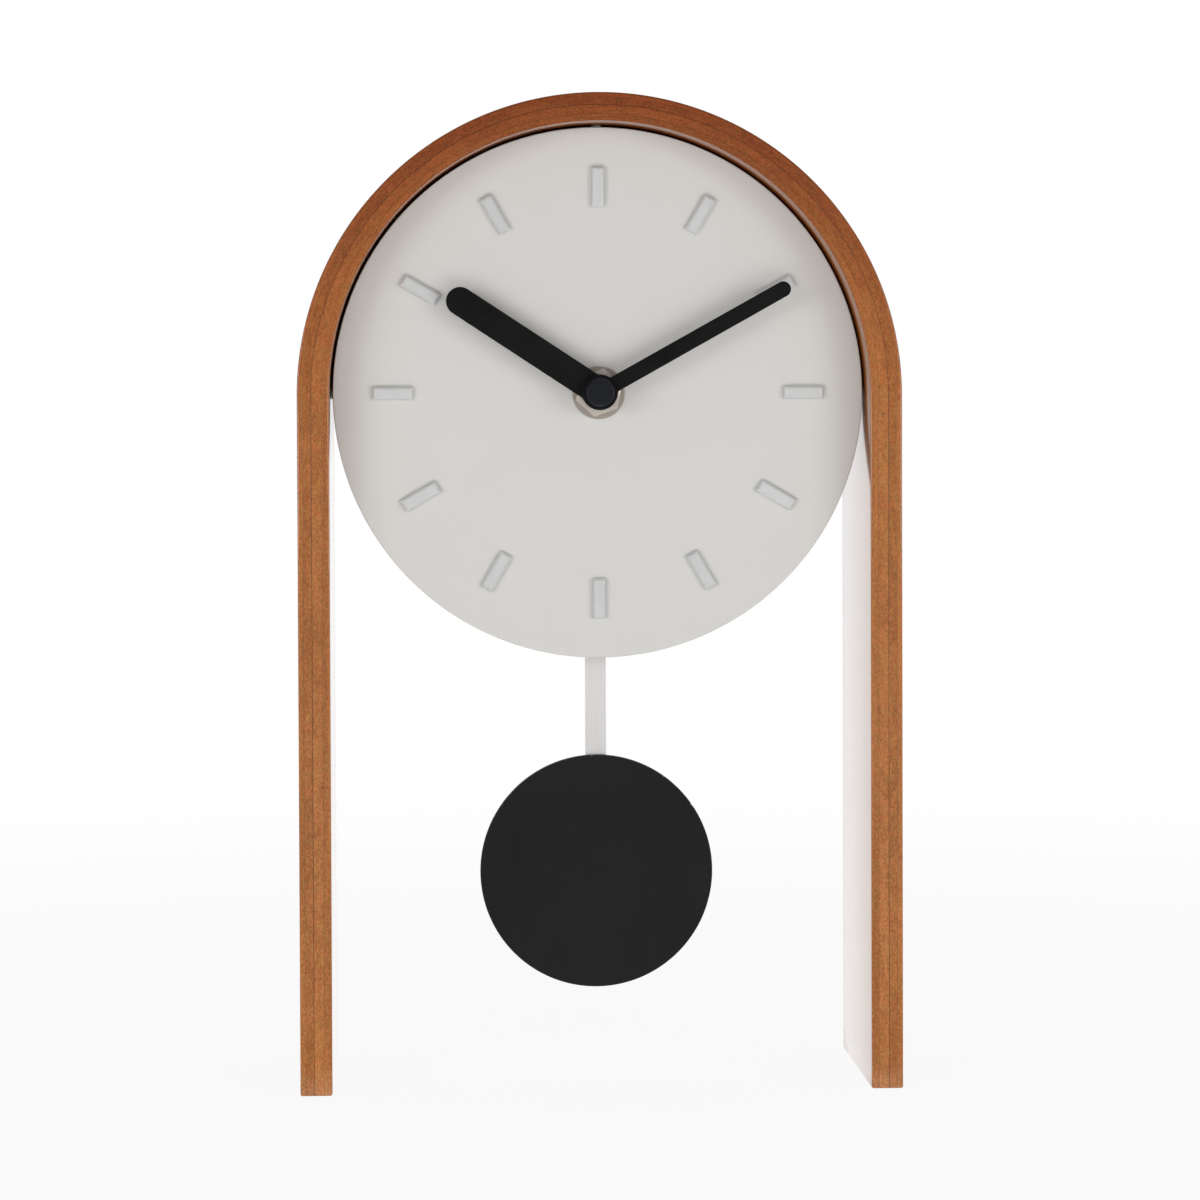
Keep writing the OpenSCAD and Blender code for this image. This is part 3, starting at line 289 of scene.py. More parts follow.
def straight_strip(half_width, tip_half_width, tip_distance, angle):
    """Distance from the hub to the edge of a tapered strip with a round tip, in the direction angle
    from the strip's own axis: the ray meets the straight side, or past its end the circle round the
    tip."""
    slope = (tip_half_width - half_width) / tip_distance
    sine, cosine = np.sin(angle), np.cos(angle)
    side = half_width / np.maximum(sine - slope * cosine, 1e-6)
    inside = np.maximum(tip_half_width**2 - (tip_distance * sine) ** 2, 0)
    tip = tip_distance * cosine + np.sqrt(inside)
    distance = np.where(side * cosine < tip_distance, side, tip)
    return np.where(cosine > 0, distance, 0)


def hexagon(across_flats, angle, turn):
    """Distance from the middle to the edge of a hexagon: half the flats' distance over the cosine of
    the angle from the nearest flat's middle."""
    sixth = TURN / 6
    off = (angle - turn) % sixth - sixth / 2
    return across_flats / 2 / np.cos(off)


def rounded_box_distance(half_width, half_height, corner, offset, angle):
    """Distance from the hub to the edge of a rounded rectangle whose middle lies offset above the hub,
    read off the outline by angle."""
    outline = rounded_rectangle(half_width, half_height, corner, 12) + [0, offset]
    dense = np.linspace(outline, np.roll(outline, -1, axis=0), 12, endpoint=False, axis=1).reshape(-1, 2)
    at = np.arctan2(dense[:, 0], dense[:, 1]) % TURN
    order = np.argsort(at)
    return np.interp(angle, at[order], np.hypot(*dense.T)[order], period=TURN)


# Materials. Patterns are measured in metres, so a scale is a number of features per metre. Each step
# puts its node into the tree of the socket that it starts from.


def give(socket, value):
    """Links a socket to another one, or sets its value. A plain colour is given as three numbers."""
    if isinstance(value, bpy.types.NodeSocket):
        socket.id_data.links.new(value, socket)
    else:
        socket.default_value = (*value, 1) if socket.type == "RGBA" else value


def wire(tree, kind, inputs=None, **attributes):
    """New shader node with its attributes and inputs set."""
    node = tree.nodes.new(kind)
    for key, value in attributes.items():
        setattr(node, key, value)
    for key, value in (inputs or {}).items():
        give(node.inputs[key], value)
    return node


def feed(shader, **sockets):
    """Gives the shader's sockets their values. Their names are written with underscores."""
    for key, value in sockets.items():
        give(shader.inputs[key.replace("_", " ")], value)


def calc(operation, first, second=0.0):
    tree = (first if isinstance(first, bpy.types.NodeSocket) else second).id_data
    return wire(tree, "ShaderNodeMath", {0: first, 1: second}, operation=operation).outputs[0]


def times(first, second):
    return calc("MULTIPLY", first, second)


def within(value, low, high, start=0.0, end=1.0):
    """Smooth step of a value from start at low to end at high."""
    inputs = {"Value": value, "From Min": low, "From Max": high, "To Min": start, "To Max": end}
    return wire(value.id_data, "ShaderNodeMapRange", inputs, interpolation_type="SMOOTHSTEP").outputs[0]


def spread(pattern, start=0.0, end=1.0, reach=0.2):
    """Smooth step of a noise pattern from start to end, over the reach below and above its middle."""
    return within(pattern, 0.5 - reach, 0.5 + reach, start, end)


def between(value, low, high, edge=0.00005):
    """1 where a value lies between low and high, with a soft edge inside each."""
    return times(within(value, low, low + edge), within(value, high - edge, high, 1.0, 0.0))


def tint(share, first, second, mode="MIX"):
    """Colour between two others by share. With MULTIPLY the first one is dyed with the second by
    share."""
    inputs = {0: share, 6: first, 7: second}
    return wire(share.id_data, "ShaderNodeMix", inputs, data_type="RGBA", blend_type=mode).outputs[2]


def shaded(colour, share):
    return tuple(min(value * share, 1) for value in colour)


def stretch(vector, scale, location=(0, 0, 0)):
    inputs = {"Vector": vector, "Scale": scale, "Location": location}
    return wire(vector.id_data, "ShaderNodeMapping", inputs).outputs[0]


def vector_math(operation, vector, output):
    return wire(vector.id_data, "ShaderNodeVectorMath", {0: vector}, operation=operation).outputs[output]


def from_axis(place, centre):
    """Distance from the axis along Y through centre, which is an x and a z."""
    flat = stretch(place, (1, 0, 1), (-centre[0], 0, -centre[1]))
    return vector_math("LENGTH", flat, "Value")


def grain(place, scale, detail=2.0, roughness=0.5, distortion=0.0):
    """Noise from 0 to 1. Its scale is one number, or one along each of X, Y and Z."""
    if isinstance(scale, tuple):
        place, scale = stretch(place, scale), 1.0
    inputs = {"Scale": scale, "Detail": detail, "Roughness": roughness, "Distortion": distortion}
    return wire(place.id_data, "ShaderNodeTexNoise", {"Vector": place, **inputs}).outputs["Fac"]


def cells(place, scale, **attributes):
    """Cells round scattered points, each with a colour of its own. Its scale is one along each of X, Y
    and Z."""
    inputs = {"Vector": stretch(place, scale), "Scale": 1.0}
    return wire(place.id_data, "ShaderNodeTexVoronoi", inputs, **attributes).outputs


def spots(place, scale, chosen, size, channel=0):
    """Scattered spots, 1 inside and 0 between them. The cells whose colour in the channel lies past the
    two numbers of chosen hold one, and it fades from the first distance of size to the second."""
    cell = cells(place, scale)
    held = within(split(cell["Color"])[channel], *chosen)
    return times(held, within(cell["Distance"], *size, 1.0, 0.0))


def split(vector):
    return wire(vector.id_data, "ShaderNodeSeparateXYZ", {0: vector}).outputs


def finish_base(name, colour, roughness, **sockets):
    """New material with one Principled shader. Returns the material, the shader and the place on the
    object."""
    material = bpy.data.materials.new(name)
    material.use_nodes = True
    shader = material.node_tree.nodes["Principled BSDF"]
    feed(shader, Base_Color=colour, Roughness=roughness, **sockets)
    return material, shader, wire(material.node_tree, "ShaderNodeTexCoord").outputs["Object"]


def relief(shader, height, depth, strength=1.0):
    """Bumps on the shader: height from 0 to 1 stands for depth in metres."""
    inputs = {"Height": height, "Distance": depth, "Strength": strength}
    feed(shader, Normal=wire(height.id_data, "ShaderNodeBump", inputs).outputs[0])


def wood_finish(name, index, settings):
    """Stained plywood under satin lacquer, in the straightened board's own measure, so that the grain
    follows the bend. The face plies' fibres run along the board and the core plies' run from front to
    back."""
    material, shader, place = finish_base(
        name,
        settings.light_stain,
        0.34,
        Coat_Weight=1.0,
        Coat_Roughness=0.08,
        Coat_IOR=1.6,
        Specular_IOR_Level=0.6,
        Specular_Tint=(1.0, 0.88, 0.74),
    )
    stored = wire(material.node_tree, "ShaderNodeAttribute", attribute_name="board").outputs["Vector"]
    board = stretch(stored, (1, 1, 1), (0.37 * index, 0.21 * index, 0))
    is_face = index in (0, 3)
    streaks = grain(board, (70, 2600, 2600) if is_face else (1500, 90, 2600), 3.0, 0.6)
    figure = grain(board, (9, 210, 420) if is_face else (160, 14, 420), 3.0, 0.55, 0.6)
    cloud = grain(board, (22, 22, 60))
    mottle = grain(board, (1400, 2100, 2100), 1.0)
    warmth = grain(board, (420, 900, 900), 3.0, 0.65)
    share = PLY_TONES[index]
    for pattern, weight in ((figure, 0.42), (streaks, 0.22), (cloud, 0.14)):
        share = calc("ADD", share, spread(pattern, 0.0, weight))
    share = calc("ADD", share, spread(mottle, 0.0, 0.62, 0.16))
    stain = tint(share, settings.light_stain, settings.dark_stain)
    stain = tint(spread(warmth, reach=0.1), stain, (1.08, 0.88, 0.95), "MULTIPLY")
    pore_scale = (300, 2400, 2400) if is_face else (1100, 160, 1500)
    pores = spots(board, pore_scale, (0.78, 0.84), (0.12, 0.34))
    stain = tint(times(pores, 0.6), stain, settings.pore)
    pits = spots(board, (240, 240, 240), (0.93, 0.95), (0.045, 0.1), channel=1)
    stain = tint(times(pits, 0.75), stain, settings.pore)
    _, depth, thickness = split(stored)
    for line in (index, index + 1):
        if GLUE_LINES[line]:
            off = calc("ABSOLUTE", calc("SUBTRACT", thickness, PLY_SHARES[line] * LEG_THICKNESS))
            width = settings.glue_width
            stain = tint(within(off, width * 0.25, width, GLUE_LINES[line], 0.0), stain, settings.pore)
    # The bend is darker, partly because the fibres' ends there take up more stain and partly as painted
    # shade, and it has less lacquer.
    height = split(place)[2]
    bend = within(height, 0.165, ARCH_HIGH.z, 0.0, PLY_BEND_STAIN_AND_SHADE[index])
    stain = tint(bend, stain, (0.58, 0.345, 0.20), "MULTIPLY")
    coat = within(height, 0.172, 0.21, 1.0, 0.2)
    # Painted light: the wood is made lighter and paler towards the feet, standing for light bounced up from
    # the floor.
    foot = within(height, 0.0, 0.13, 1.0, 0.0)
    stain = tint(foot, stain, (1.18, 1.26, 1.5), "MULTIPLY")
    # The veneered faces are polished and the cut edges are satin.
    off = calc("ABSOLUTE", depth)
    satin = within(off, ARCH_HIGH.y - 0.0004, ARCH_HIGH.y - 0.0002, 0.5, 1.0)
    dull = times(spread(streaks, 0.3, 0.42, 0.25), satin)
    feed(shader, Base_Color=stain, Coat_Weight=coat, Roughness=dull)
    relief(shader, calc("SUBTRACT", streaks, times(pores, 1.6)), 0.00001, 0.4)
    return material


def lacquer_finish(name, colour):
    """Sprayed satin lacquer: faint orange peel and a barely seen cloudiness."""
    material, shader, place = finish_base(
        name, colour, 0.5, Specular_IOR_Level=0.3, Coat_Weight=0.2, Coat_Roughness=0.35, Coat_IOR=1.4
    )
    cloud = grain(place, 26, 3.0)
    fleck = grain(place, 3200, 2.0, 0.6)
    tone = tint(spread(cloud, 0.0, 0.5), colour, shaded(colour, 0.975))
    tone = tint(within(fleck, 0.62, 0.8, 0.0, 0.10), tone, shaded(colour, 0.8))
    feed(shader, Base_Color=tone, Roughness=spread(cloud, 0.46, 0.56))
    relief(shader, grain(place, 900, 3.0, 0.55), 0.00002, 0.35)
    return material


def moulded_finish(name, colour, roughness, texture, depth=0.00001, **sockets):
    """Moulded plastic with fine spark texture, whose bumps have the given scale and depth."""
    material, shader, place = finish_base(name, colour, roughness, **sockets)
    spark = grain(place, texture, 3.0, 0.65)
    tone = tint(spread(grain(place, 55)), colour, shaded(colour, 0.93))
    dull = spread(spark, roughness * 0.88, roughness * 1.15)
    feed(shader, Base_Color=tone, Roughness=dull)
    relief(shader, spark, depth, 0.6)
    return material


def felt_finish(name, colour):
    """Pressed felt: fibres lie all ways and catch a little light at the edge."""
    material, shader, place = finish_base(
        name, colour, 0.95, Specular_IOR_Level=0.1, Sheen_Weight=0.05, Sheen_Roughness=0.5
    )
    fibres = grain(place, 5200, 4.0, 0.7, 1.5)
    feed(shader, Base_Color=tint(spread(fibres, reach=0.15), colour, shaded(colour, 2.2)))
    relief(shader, fibres, 0.00005, 0.8)
    return material


def paint_finish(name, colour, roughness):
    """Matte stoved paint on sheet metal: a fine dry texture and slight gloss changes."""
    material, shader, place = finish_base(name, colour, roughness, Specular_IOR_Level=0.14)
    cloud = grain(place, 90, 3.0)
    tone = tint(spread(cloud), colour, shaded(colour, 1.35))
    feed(shader, Base_Color=tone, Roughness=spread(cloud, roughness * 0.92, roughness * 1.1))
    relief(shader, grain(place, 4200, 2.0, 0.6), 0.000006, 0.5)
    return material


def metal_finish(name, colour, roughness, lines=(1800, 1800, 1800), metallic=1.0):
    """Bare metal with fine tool marks. lines scales the marks along X, Y and Z."""
    material, shader, place = finish_base(name, colour, roughness, Metallic=metallic)
    marks = grain(place, lines, 3.0, 0.6)
    tone = tint(spread(marks, reach=0.25), colour, shaded(colour, 0.93))
    worn = spread(grain(place, 120), roughness * 0.85, roughness * 1.15)
    feed(shader, Base_Color=tone, Roughness=worn)
    relief(shader, marks, 0.000002, 0.6)
    return material


def turned_metal_finish(name, colour, roughness):
    """Plated metal that was faced on a lathe: the marks are rings round the hub."""
    material, shader, place = finish_base(name, colour, roughness, Metallic=0.4)
    rings_per_metre = 14000
    inputs = {"W": times(from_axis(place, HUB), rings_per_metre), "Scale": 1.0, "Detail": 2.0}
    rings = wire(material.node_tree, "ShaderNodeTexNoise", inputs, noise_dimensions="1D").outputs["Fac"]
    tone = tint(spread(rings), colour, shaded(colour, 0.84))
    worn = spread(grain(place, 260), roughness * 0.85, roughness * 1.2)
    feed(shader, Base_Color=tone, Roughness=worn)
    relief(shader, rings, 0.000003, 0.5)
    return material


def bob_finish(name, settings, centre, radius):
    """Matte black paint on a metal disc, rubbed and chipped through to the metal here and there at the
    rim. A faint warm brown ring all round the rim is a painted reflection of the wood."""
    material, shader, place = finish_base(name, settings.bob, 0.52, Specular_IOR_Level=0.16)
    rim = within(from_axis(place, centre), radius - 0.00035, radius - 0.00005)
    chipped = times(rim, within(grain(place, 420, 3.0, 0.6), 0.66, 0.69))
    brushed = grain(place, (2600, 400, 45), 3.0, 0.6)
    paint = tint(spread(brushed, 0.0, 0.55, 0.25), settings.bob, shaded(settings.bob, 1.35))
    cloud = spread(grain(place, 30, 3.0), 0.0, 0.5)
    paint = tint(cloud, paint, shaded(settings.bob, 0.8))
    # Painted reflection: a faint warm brown ring all round the rim, for the wood mirrored in its edge.
    paint = tint(times(rim, 0.12), paint, (0.19, 0.12, 0.08))
    tone, dull = tint(chipped, paint, settings.metal), spread(brushed, 0.48, 0.58, 0.25)
    feed(shader, Base_Color=tone, Metallic=chipped, Roughness=dull)
    relief(shader, grain(place, 4200, 2.0, 0.6), 0.000006, 0.5)
    return material


def wound_finish(name, colour, axis):
    """Enamelled copper wire: one ridge to each wire's thickness of the coil's length, along the axis
    numbered 0 to 2."""
    material, shader, place = finish_base(name, colour, 0.28, Metallic=1.0, Coat_Weight=0.7)
    wire_thickness = 0.00012
    wave = calc("SINE", times(split(place)[axis], TURN / wire_thickness))
    ridge = within(wave, -1.0, 1.0)
    cloud = spread(grain(place, 700, 3.0, 0.6), 0.0, 0.7)
    tone = tint(cloud, colour, shaded(colour, 0.55))
    # Painted shade: the grooves between the wires are darkened to 0.45 of the colour.
    feed(shader, Base_Color=tint(ridge, shaded(colour, 0.45), tone))
    relief(shader, ridge, 0.00003, 0.7)
    return material


def board_finish(name, settings):
    """Green solder mask with lighter copper tracks under it and tinned pads."""
    material, shader, place = finish_base(
        name, settings.board, 0.32, Coat_Weight=0.5, Coat_Roughness=0.2
    )
    gaps = cells(place, (420, 420, 640), feature="DISTANCE_TO_EDGE")["Distance"]
    track = within(gaps, 0.06, 0.1, 1.0, 0.0)
    pad = spots(place, (420, 420, 420), (0.55, 0.6), (0.16, 0.2))
    tone = tint(track, settings.board, (0.06, 0.24, 0.10))
    feed(shader, Base_Color=tint(pad, tone, (0.62, 0.62, 0.60)), Metallic=pad)
    relief(shader, track, 0.00003, 0.5)
    return material


def battery_finish(name, settings, low, high):
    """Printed sleeve between bare metal ends at the heights low and high: a lighter band near the upper
    end and a thin ring at each seam."""
    material, shader, place = finish_base(
        name, settings.sleeve, 0.3, Coat_Weight=0.6, Coat_Roughness=0.12
    )
    height = split(place)[2]
    seam = 0.0009
    sleeve = between(height, low + seam, high - seam)
    band = between(height, high - 0.0122, high - 0.00415)
    printed = tint(band, settings.sleeve, (0.42, 0.44, 0.46))
    scuffs = within(grain(place, (900, 900, 120), 4.0, 0.7), 0.62, 0.72, 0.0, 0.25)
    printed = tint(scuffs, printed, (0.5, 0.51, 0.52))
    tone = tint(sleeve, (0.60, 0.60, 0.59), printed)
    feed(shader, Base_Color=tone, Metallic=calc("SUBTRACT", 1.0, sleeve))
    return material


# Putting pieces into the clock.


def settle(piece, material, node, body="clock_frame"):
    """Gives a new piece its finish and its body, and hides the CAD node that it stands for."""
    piece.data.materials.append(material)
    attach(piece, body)
    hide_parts(node)


def dress(material, *nodes):
    """Gives CAD nodes a finish."""
    for node in nodes:
        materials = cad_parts[node].data.materials
        materials.clear()
        materials.append(material)


class CLOCK_OT_arch(Operator):
    """Build the four bent plies of the arch"""

    bl_idname = "clock.arch"
    bl_label = "Plywood arch"

    def execute(self, context):
        settings = context.scene.clock_arch
        front, back = ARCH_LOW.y, ARCH_HIGH.y
        ease, groove = settings.edge_round, 0.00004
        quarter = np.linspace(0, math.pi / 2, 6)
        foot, inset = ease * (1 - np.cos(quarter)), ease * (1 - np.sin(quarter))
        rise = np.concatenate([foot / LEG_HEIGHT, np.linspace(0, 1, 26)[1:]])
        along = np.concatenate([rise, 1 + np.linspace(0, 1, 181)[1:], 3 - rise[-2::-1]])[:, None]
        inset = np.concatenate([inset, np.zeros(len(along) - 2 * len(inset)), inset[::-1]])[:, None]
        for index, node in enumerate(PLY_NODES):
            outer, inner = PLY_SHARES[index] * LEG_THICKNESS, PLY_SHARES[index + 1] * LEG_THICKNESS
            radii = [ease if index == 0 else groove] * 2 + [ease if index == 3 else groove] * 2
            section = rounded([[outer, back], [outer, front], [inner, front], [inner, back]], radii, 6)
            section = np.concatenate([section, np.linspace(section[-1], section[0], 14)[1:-1]])
            thickness, depth = section.T
            # The section pulls in by the inset at the feet, on the board's outside faces only.
            middle = (outer + inner) / 2
            pull = 1.0 * (index == 0) * (thickness < middle) - 1.0 * (index == 3) * (thickness > middle)
            thickness = thickness + inset * pull
            depth = depth - inset * np.sign(depth) * (np.abs(depth) > back - 2 * ease)
            x, z = bent(thickness, along)
            measure = np.broadcast_to(straightened(along), x.shape)
            points = np.stack([x, depth, z], axis=-1)
            board = np.stack([measure, depth, thickness], axis=-1)
            piece = surface(f"{node}_bent", points, board=board, crease=50)
            settle(piece, wood_finish(f"{node}_wood", index, settings), node)
        return {"FINISHED"}


class CLOCK_OT_dial(Operator):
    """Build the white dial with its rim and rear pocket, and finish its pins and felt"""

    bl_idname = "clock.dial"
    bl_label = "Dial"

    def execute(self, context):
        settings = context.scene.clock_dial
        front, back = DIAL_LOW.y, DIAL_HIGH.y
        rim, hole = (DIAL_HIGH.x - DIAL_LOW.x) / 2, CENTRE_HOLE
        case_low, case_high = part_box("movement_case_front")
        floor = case_low.y
        gap, corner, lip = 0.002, 0.005, 0.0003
        half_width = (case_high.x - case_low.x) / 2 + gap
        half_height = (case_high.z - case_low.z) / 2 + gap
        offset = (case_high.z + case_low.z) / 2 - HUB_Z
        angles = ring_angles(720)
        pocket = rounded_box_distance(half_width, half_height, corner, offset, angles)
        outside = eased_line(
            [[hole, front], [rim, front], [rim, back], [half_height, back]], settings.edge_round, 7
        )
        # Round the section: the face, the rim, and the pocket's rim, wall and floor, which follow its
        # outline.
        rows = [
            outside[0],
            *((radius, front) for radius in np.linspace(hole, rim - 0.004, 14)[1:-1]),
            *outside[1:-1],
            (pocket + lip, back),
            (pocket, back - lip),
            (pocket, floor + lip),
            (pocket - lip, floor),
            (hole, floor),
        ]
        dial = around("dial", angles, rows, ring=True)
        lacquer = lacquer_finish("dial_lacquer", settings.lacquer)
        settle(dial, lacquer, "dial_disc")
        dress(metal_finish("pin_steel", (0.72, 0.71, 0.69), 0.45, metallic=0.6), "dial_pins")
        dress(felt_finish("gap_felt", settings.felt), "dial_gap_felt")
        return {"FINISHED"}


class CLOCK_OT_markers(Operator):
    """Build the twelve bevelled hour markers"""

    bl_idname = "clock.markers"
    bl_label = "Hour markers"

    def execute(self, context):
        settings = context.scene.clock_dial
        low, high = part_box("hour_marker_12")
        half_width, half_length = (high.x - low.x) / 2, (high.z - low.z) / 2
        height, bevel = high.y - low.y, settings.marker_bevel
        profile = eased_line(
            [[0, 0], [0, height - bevel], [bevel, height], [bevel + 0.0006, height]], 0.0003, 5
        )
        outlines = []
        for inset in profile[:, 0]:
            corner = max(settings.marker_round - 0.3 * inset, 0.0001)
            outlines.append(rounded_rectangle(half_width - inset, half_length - inset, corner, 6))
        across, up = np.moveaxis(np.stack(outlines), -1, 0)
        up = up + (low.z + high.z) / 2 - HUB_Z
        depth = high.y - profile[:, 1, None]
        finish = moulded_finish(
            "marker_plastic", settings.marker, 0.24, 900, 0.000008, Coat_Weight=0.4, Coat_Roughness=0.12
        )
        for hour in range(1, 13):
            points = on_dial(across, depth, up, hour * TURN / 12)
            piece = surface(f"marker_{hour:02d}", points, crease=60)
            settle(piece, finish, f"hour_marker_{hour:02d}")
        return {"FINISHED"}


class CLOCK_OT_hands(Operator):
    """Build the two punched hands and the closed nut that holds them"""

    bl_idname = "clock.hands"
    bl_label = "Hands"

    def hand(self, node, half_width, tip_half_width, reach, hole, angle, edge):
        low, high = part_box(node)
        hub = 0.005
        # Samples crowd towards the strip's own axis, where the edge is far away.
        u = np.linspace(-1, 1, 601)[:-1]
        off = math.pi * np.sign(u) * np.abs(u) ** 3
        strip = straight_strip(half_width, tip_half_width, reach - tip_half_width, np.abs(off))
        # The neck between hub and strip is eased by a high power mean.
        power_mean = 26
        distance = hub * (1 + (strip / hub) ** power_mean) ** (1 / power_mean)
        distance = np.where(strip > 2 * hub, strip, distance)
        outline = np.stack([distance * np.sin(off), distance * np.cos(off)], axis=-1)
        tangent = np.roll(outline, -1, axis=0) - np.roll(outline, 1, axis=0)
        normal = np.stack([-tangent[:, 1], tangent[:, 0]], axis=-1)
        normal /= np.linalg.norm(normal, axis=1, keepdims=True) + 1e-12
        inward = np.where((normal * outline).sum(1, keepdims=True) > 0, -normal, normal)
        # The rows run from the hole over the front, round both edges by quarter circles, and back to
        # the hole.
        quarter = np.linspace(0, math.pi / 2, 5)
        drop, inset = edge * (1 - np.sin(quarter)), edge * (1 - np.cos(quarter))
        depth = np.concatenate([[low.y], low.y + drop[::-1], high.y - drop, [high.y]])[:, None]
        inset = np.concatenate([[0], inset[::-1], inset, [0]])[:, None, None]
        share = np.array([0.0, *[1.0] * 10, 0.0])[:, None, None]
        rim = outline + inward * inset
        hole_edge = outline / np.linalg.norm(outline, axis=1, keepdims=True) * hole
        across, up = np.moveaxis(rim * share + hole_edge * (1 - share), -1, 0)
        points = on_dial(across, depth, up, math.radians(angle))
        return surface(f"{node}_sheet", points, ring=True, crease=50)

    def execute(self, context):
        settings = context.scene.clock_hands
        paint = paint_finish("hand_paint", settings.black, 0.46)
        for node, *sizes in HANDS:
            hand = self.hand(node, *sizes, settings.sheet_round)
            settle(hand, paint, node, f"{node}_assembly")
        low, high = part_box("hand_nut")
        radius, chamfer = (high.x - low.x) / 2, 0.0004
        bore, roof = 0.0013, low.y + 0.0005
        section = eased_line(
            [
                [0, low.y],
                [radius - chamfer, low.y],
                [radius, low.y + chamfer],
                [radius, high.y],
                [bore, high.y],
                [bore, roof],
                [0, roof],
            ],
            [0.00004, 0.00004, 0.00005, 0.00005, 0.00002],
        )
        nut = turned("closed_nut", section, count=128, crease=28)
        plastic = moulded_finish(
            "closed_nut_plastic", settings.cap, 0.3, 3000, 0.000004, Specular_IOR_Level=0.45
        )
        settle(nut, plastic, "hand_nut", "minute_hand_assembly")
        return {"FINISHED"}


class CLOCK_OT_centre(Operator):
    """Build the washer, the hex nut and the threaded bushing under the hands"""

    bl_idname = "clock.centre"
    bl_label = "Centre fixing"

    def washer(self, settings):
        low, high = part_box("fixing_washer")
        radius, hole = (high.x - low.x) / 2, CENTRE_HOLE
        section = rounded([[hole, low.y], [radius, low.y], [radius, high.y], [hole, high.y]], 0.00015, 5)
        washer = turned("flat_washer", section, count=160, ring=True, crease=50)
        plated = turned_metal_finish("nickel_plate", settings.nickel, 0.22)
        settle(washer, plated, "fixing_washer")

    def nut(self, settings):
        low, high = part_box("fixing_nut")
        across_flats, hole, lip, turn = 0.012, 0.00402, 0.0004, math.radians(191.3)
        angles = ring_angles(240) + turn
        outline = hexagon(across_flats, angles, turn)
        # A cone of 30 degrees cuts the hexagon's corners off on both faces.
        cone = across_flats / 2 - 0.00025
        drop = np.maximum(outline - cone, 0) * math.tan(math.radians(30))
        rows = [
            (hole, low.y + lip),
            (hole + lip, low.y),
            (cone - 0.0001, low.y),
            (cone, low.y + 0.00003),
            (outline - 0.00005, low.y + drop),
            (outline, low.y + drop + 0.00006),
            (outline, high.y - drop - 0.00006),
            (outline - 0.00005, high.y - drop),
            (cone, high.y),
            (hole, high.y),
        ]
        nut = around("hex_nut", angles, rows, ring=True, crease=22)
        bright = turned_metal_finish("nickel_nut", shaded(settings.nickel, 1.55), 0.16)
        settle(nut, bright, "fixing_nut")

    def bushing(self, settings):
        low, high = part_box("centre_bushing")
        bore, crest, flange = 0.00236, 0.004, (high.x - low.x) / 2
        pitch, thread_depth, flange_front = 0.00075, 0.00035, high.y - 0.0015
        angles = ring_angles(96)
        # Thread: the radius is a triangle wave of depth over pitch, shifted by the share of a turn.
        depths = np.arange(low.y + 0.0003, low.y + 0.0062, pitch / 8)
        wave = np.abs(((depths[:, None] / pitch - angles / TURN) % 1) * 2 - 1)
        rows = [
            (bore, high.y),
            (bore, low.y + 0.0002),
            (bore + 0.0002, low.y),
            (crest - 0.0004, low.y),
            *zip(crest - thread_depth * wave, depths),
            (crest - 0.0002, low.y + 0.0064),
            (crest - 0.0002, flange_front),
            (flange, flange_front),
            (flange, high.y),
        ]
        bushing = around("threaded_bushing", angles, rows, ring=True, crease=35)
        brass = metal_finish("bushing_brass", settings.brass, 0.25)
        settle(bushing, brass, "centre_bushing")

    def execute(self, context):
        for part in (self.washer, self.nut, self.bushing):
            part(context.scene.clock_hands)
        return {"FINISHED"}


class CLOCK_OT_pendulum(Operator):
    """Build the bob and finish the rod, the hanger and the clip"""

    bl_idname = "clock.pendulum"
    bl_label = "Pendulum"

    def execute(self, context):
        settings, movement = context.scene.clock_pendulum, context.scene.clock_movement
        low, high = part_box("pendulum_bob")
        centre = ((low.x + high.x) / 2, (low.z + high.z) / 2)
        radius, ease = (high.x - low.x) / 2, settings.rim_round
        front = [[0, low.y], [radius * 0.5, low.y], [radius, low.y]]
        back = [[radius, high.y], [radius * 0.5, high.y], [0, high.y]]
        section = eased_line(front + back, [0.001, ease, ease, 0.001], 6)
        bob = turned("bob_disc", section, centre, count=360, crease=50)
        paint = bob_finish("bob_paint", settings, centre, radius)
        settle(bob, paint, "pendulum_bob", "pendulum")
        dress(metal_finish("rod_metal", settings.metal, 0.42, (2600, 600, 40), 0.15), "pendulum_rod")
        dress(moulded_finish("hanger_plastic", movement.white_plastic, 0.38, 1200), "pendulum_hanger")
        dress(metal_finish("magnet_plate", (0.32, 0.32, 0.33), 0.24), "hanger_magnet", "rotor_magnet")
        dress(metal_finish("clip_steel", movement.steel, 0.3, (300, 900, 2400)), "bob_clip")
        screws = metal_finish("pendulum_screw_steel", movement.steel, 0.24)
        dress(screws, "bob_clip_screws", "hanger_pivot_pin", "hanger_retainer")
        return {"FINISHED"}


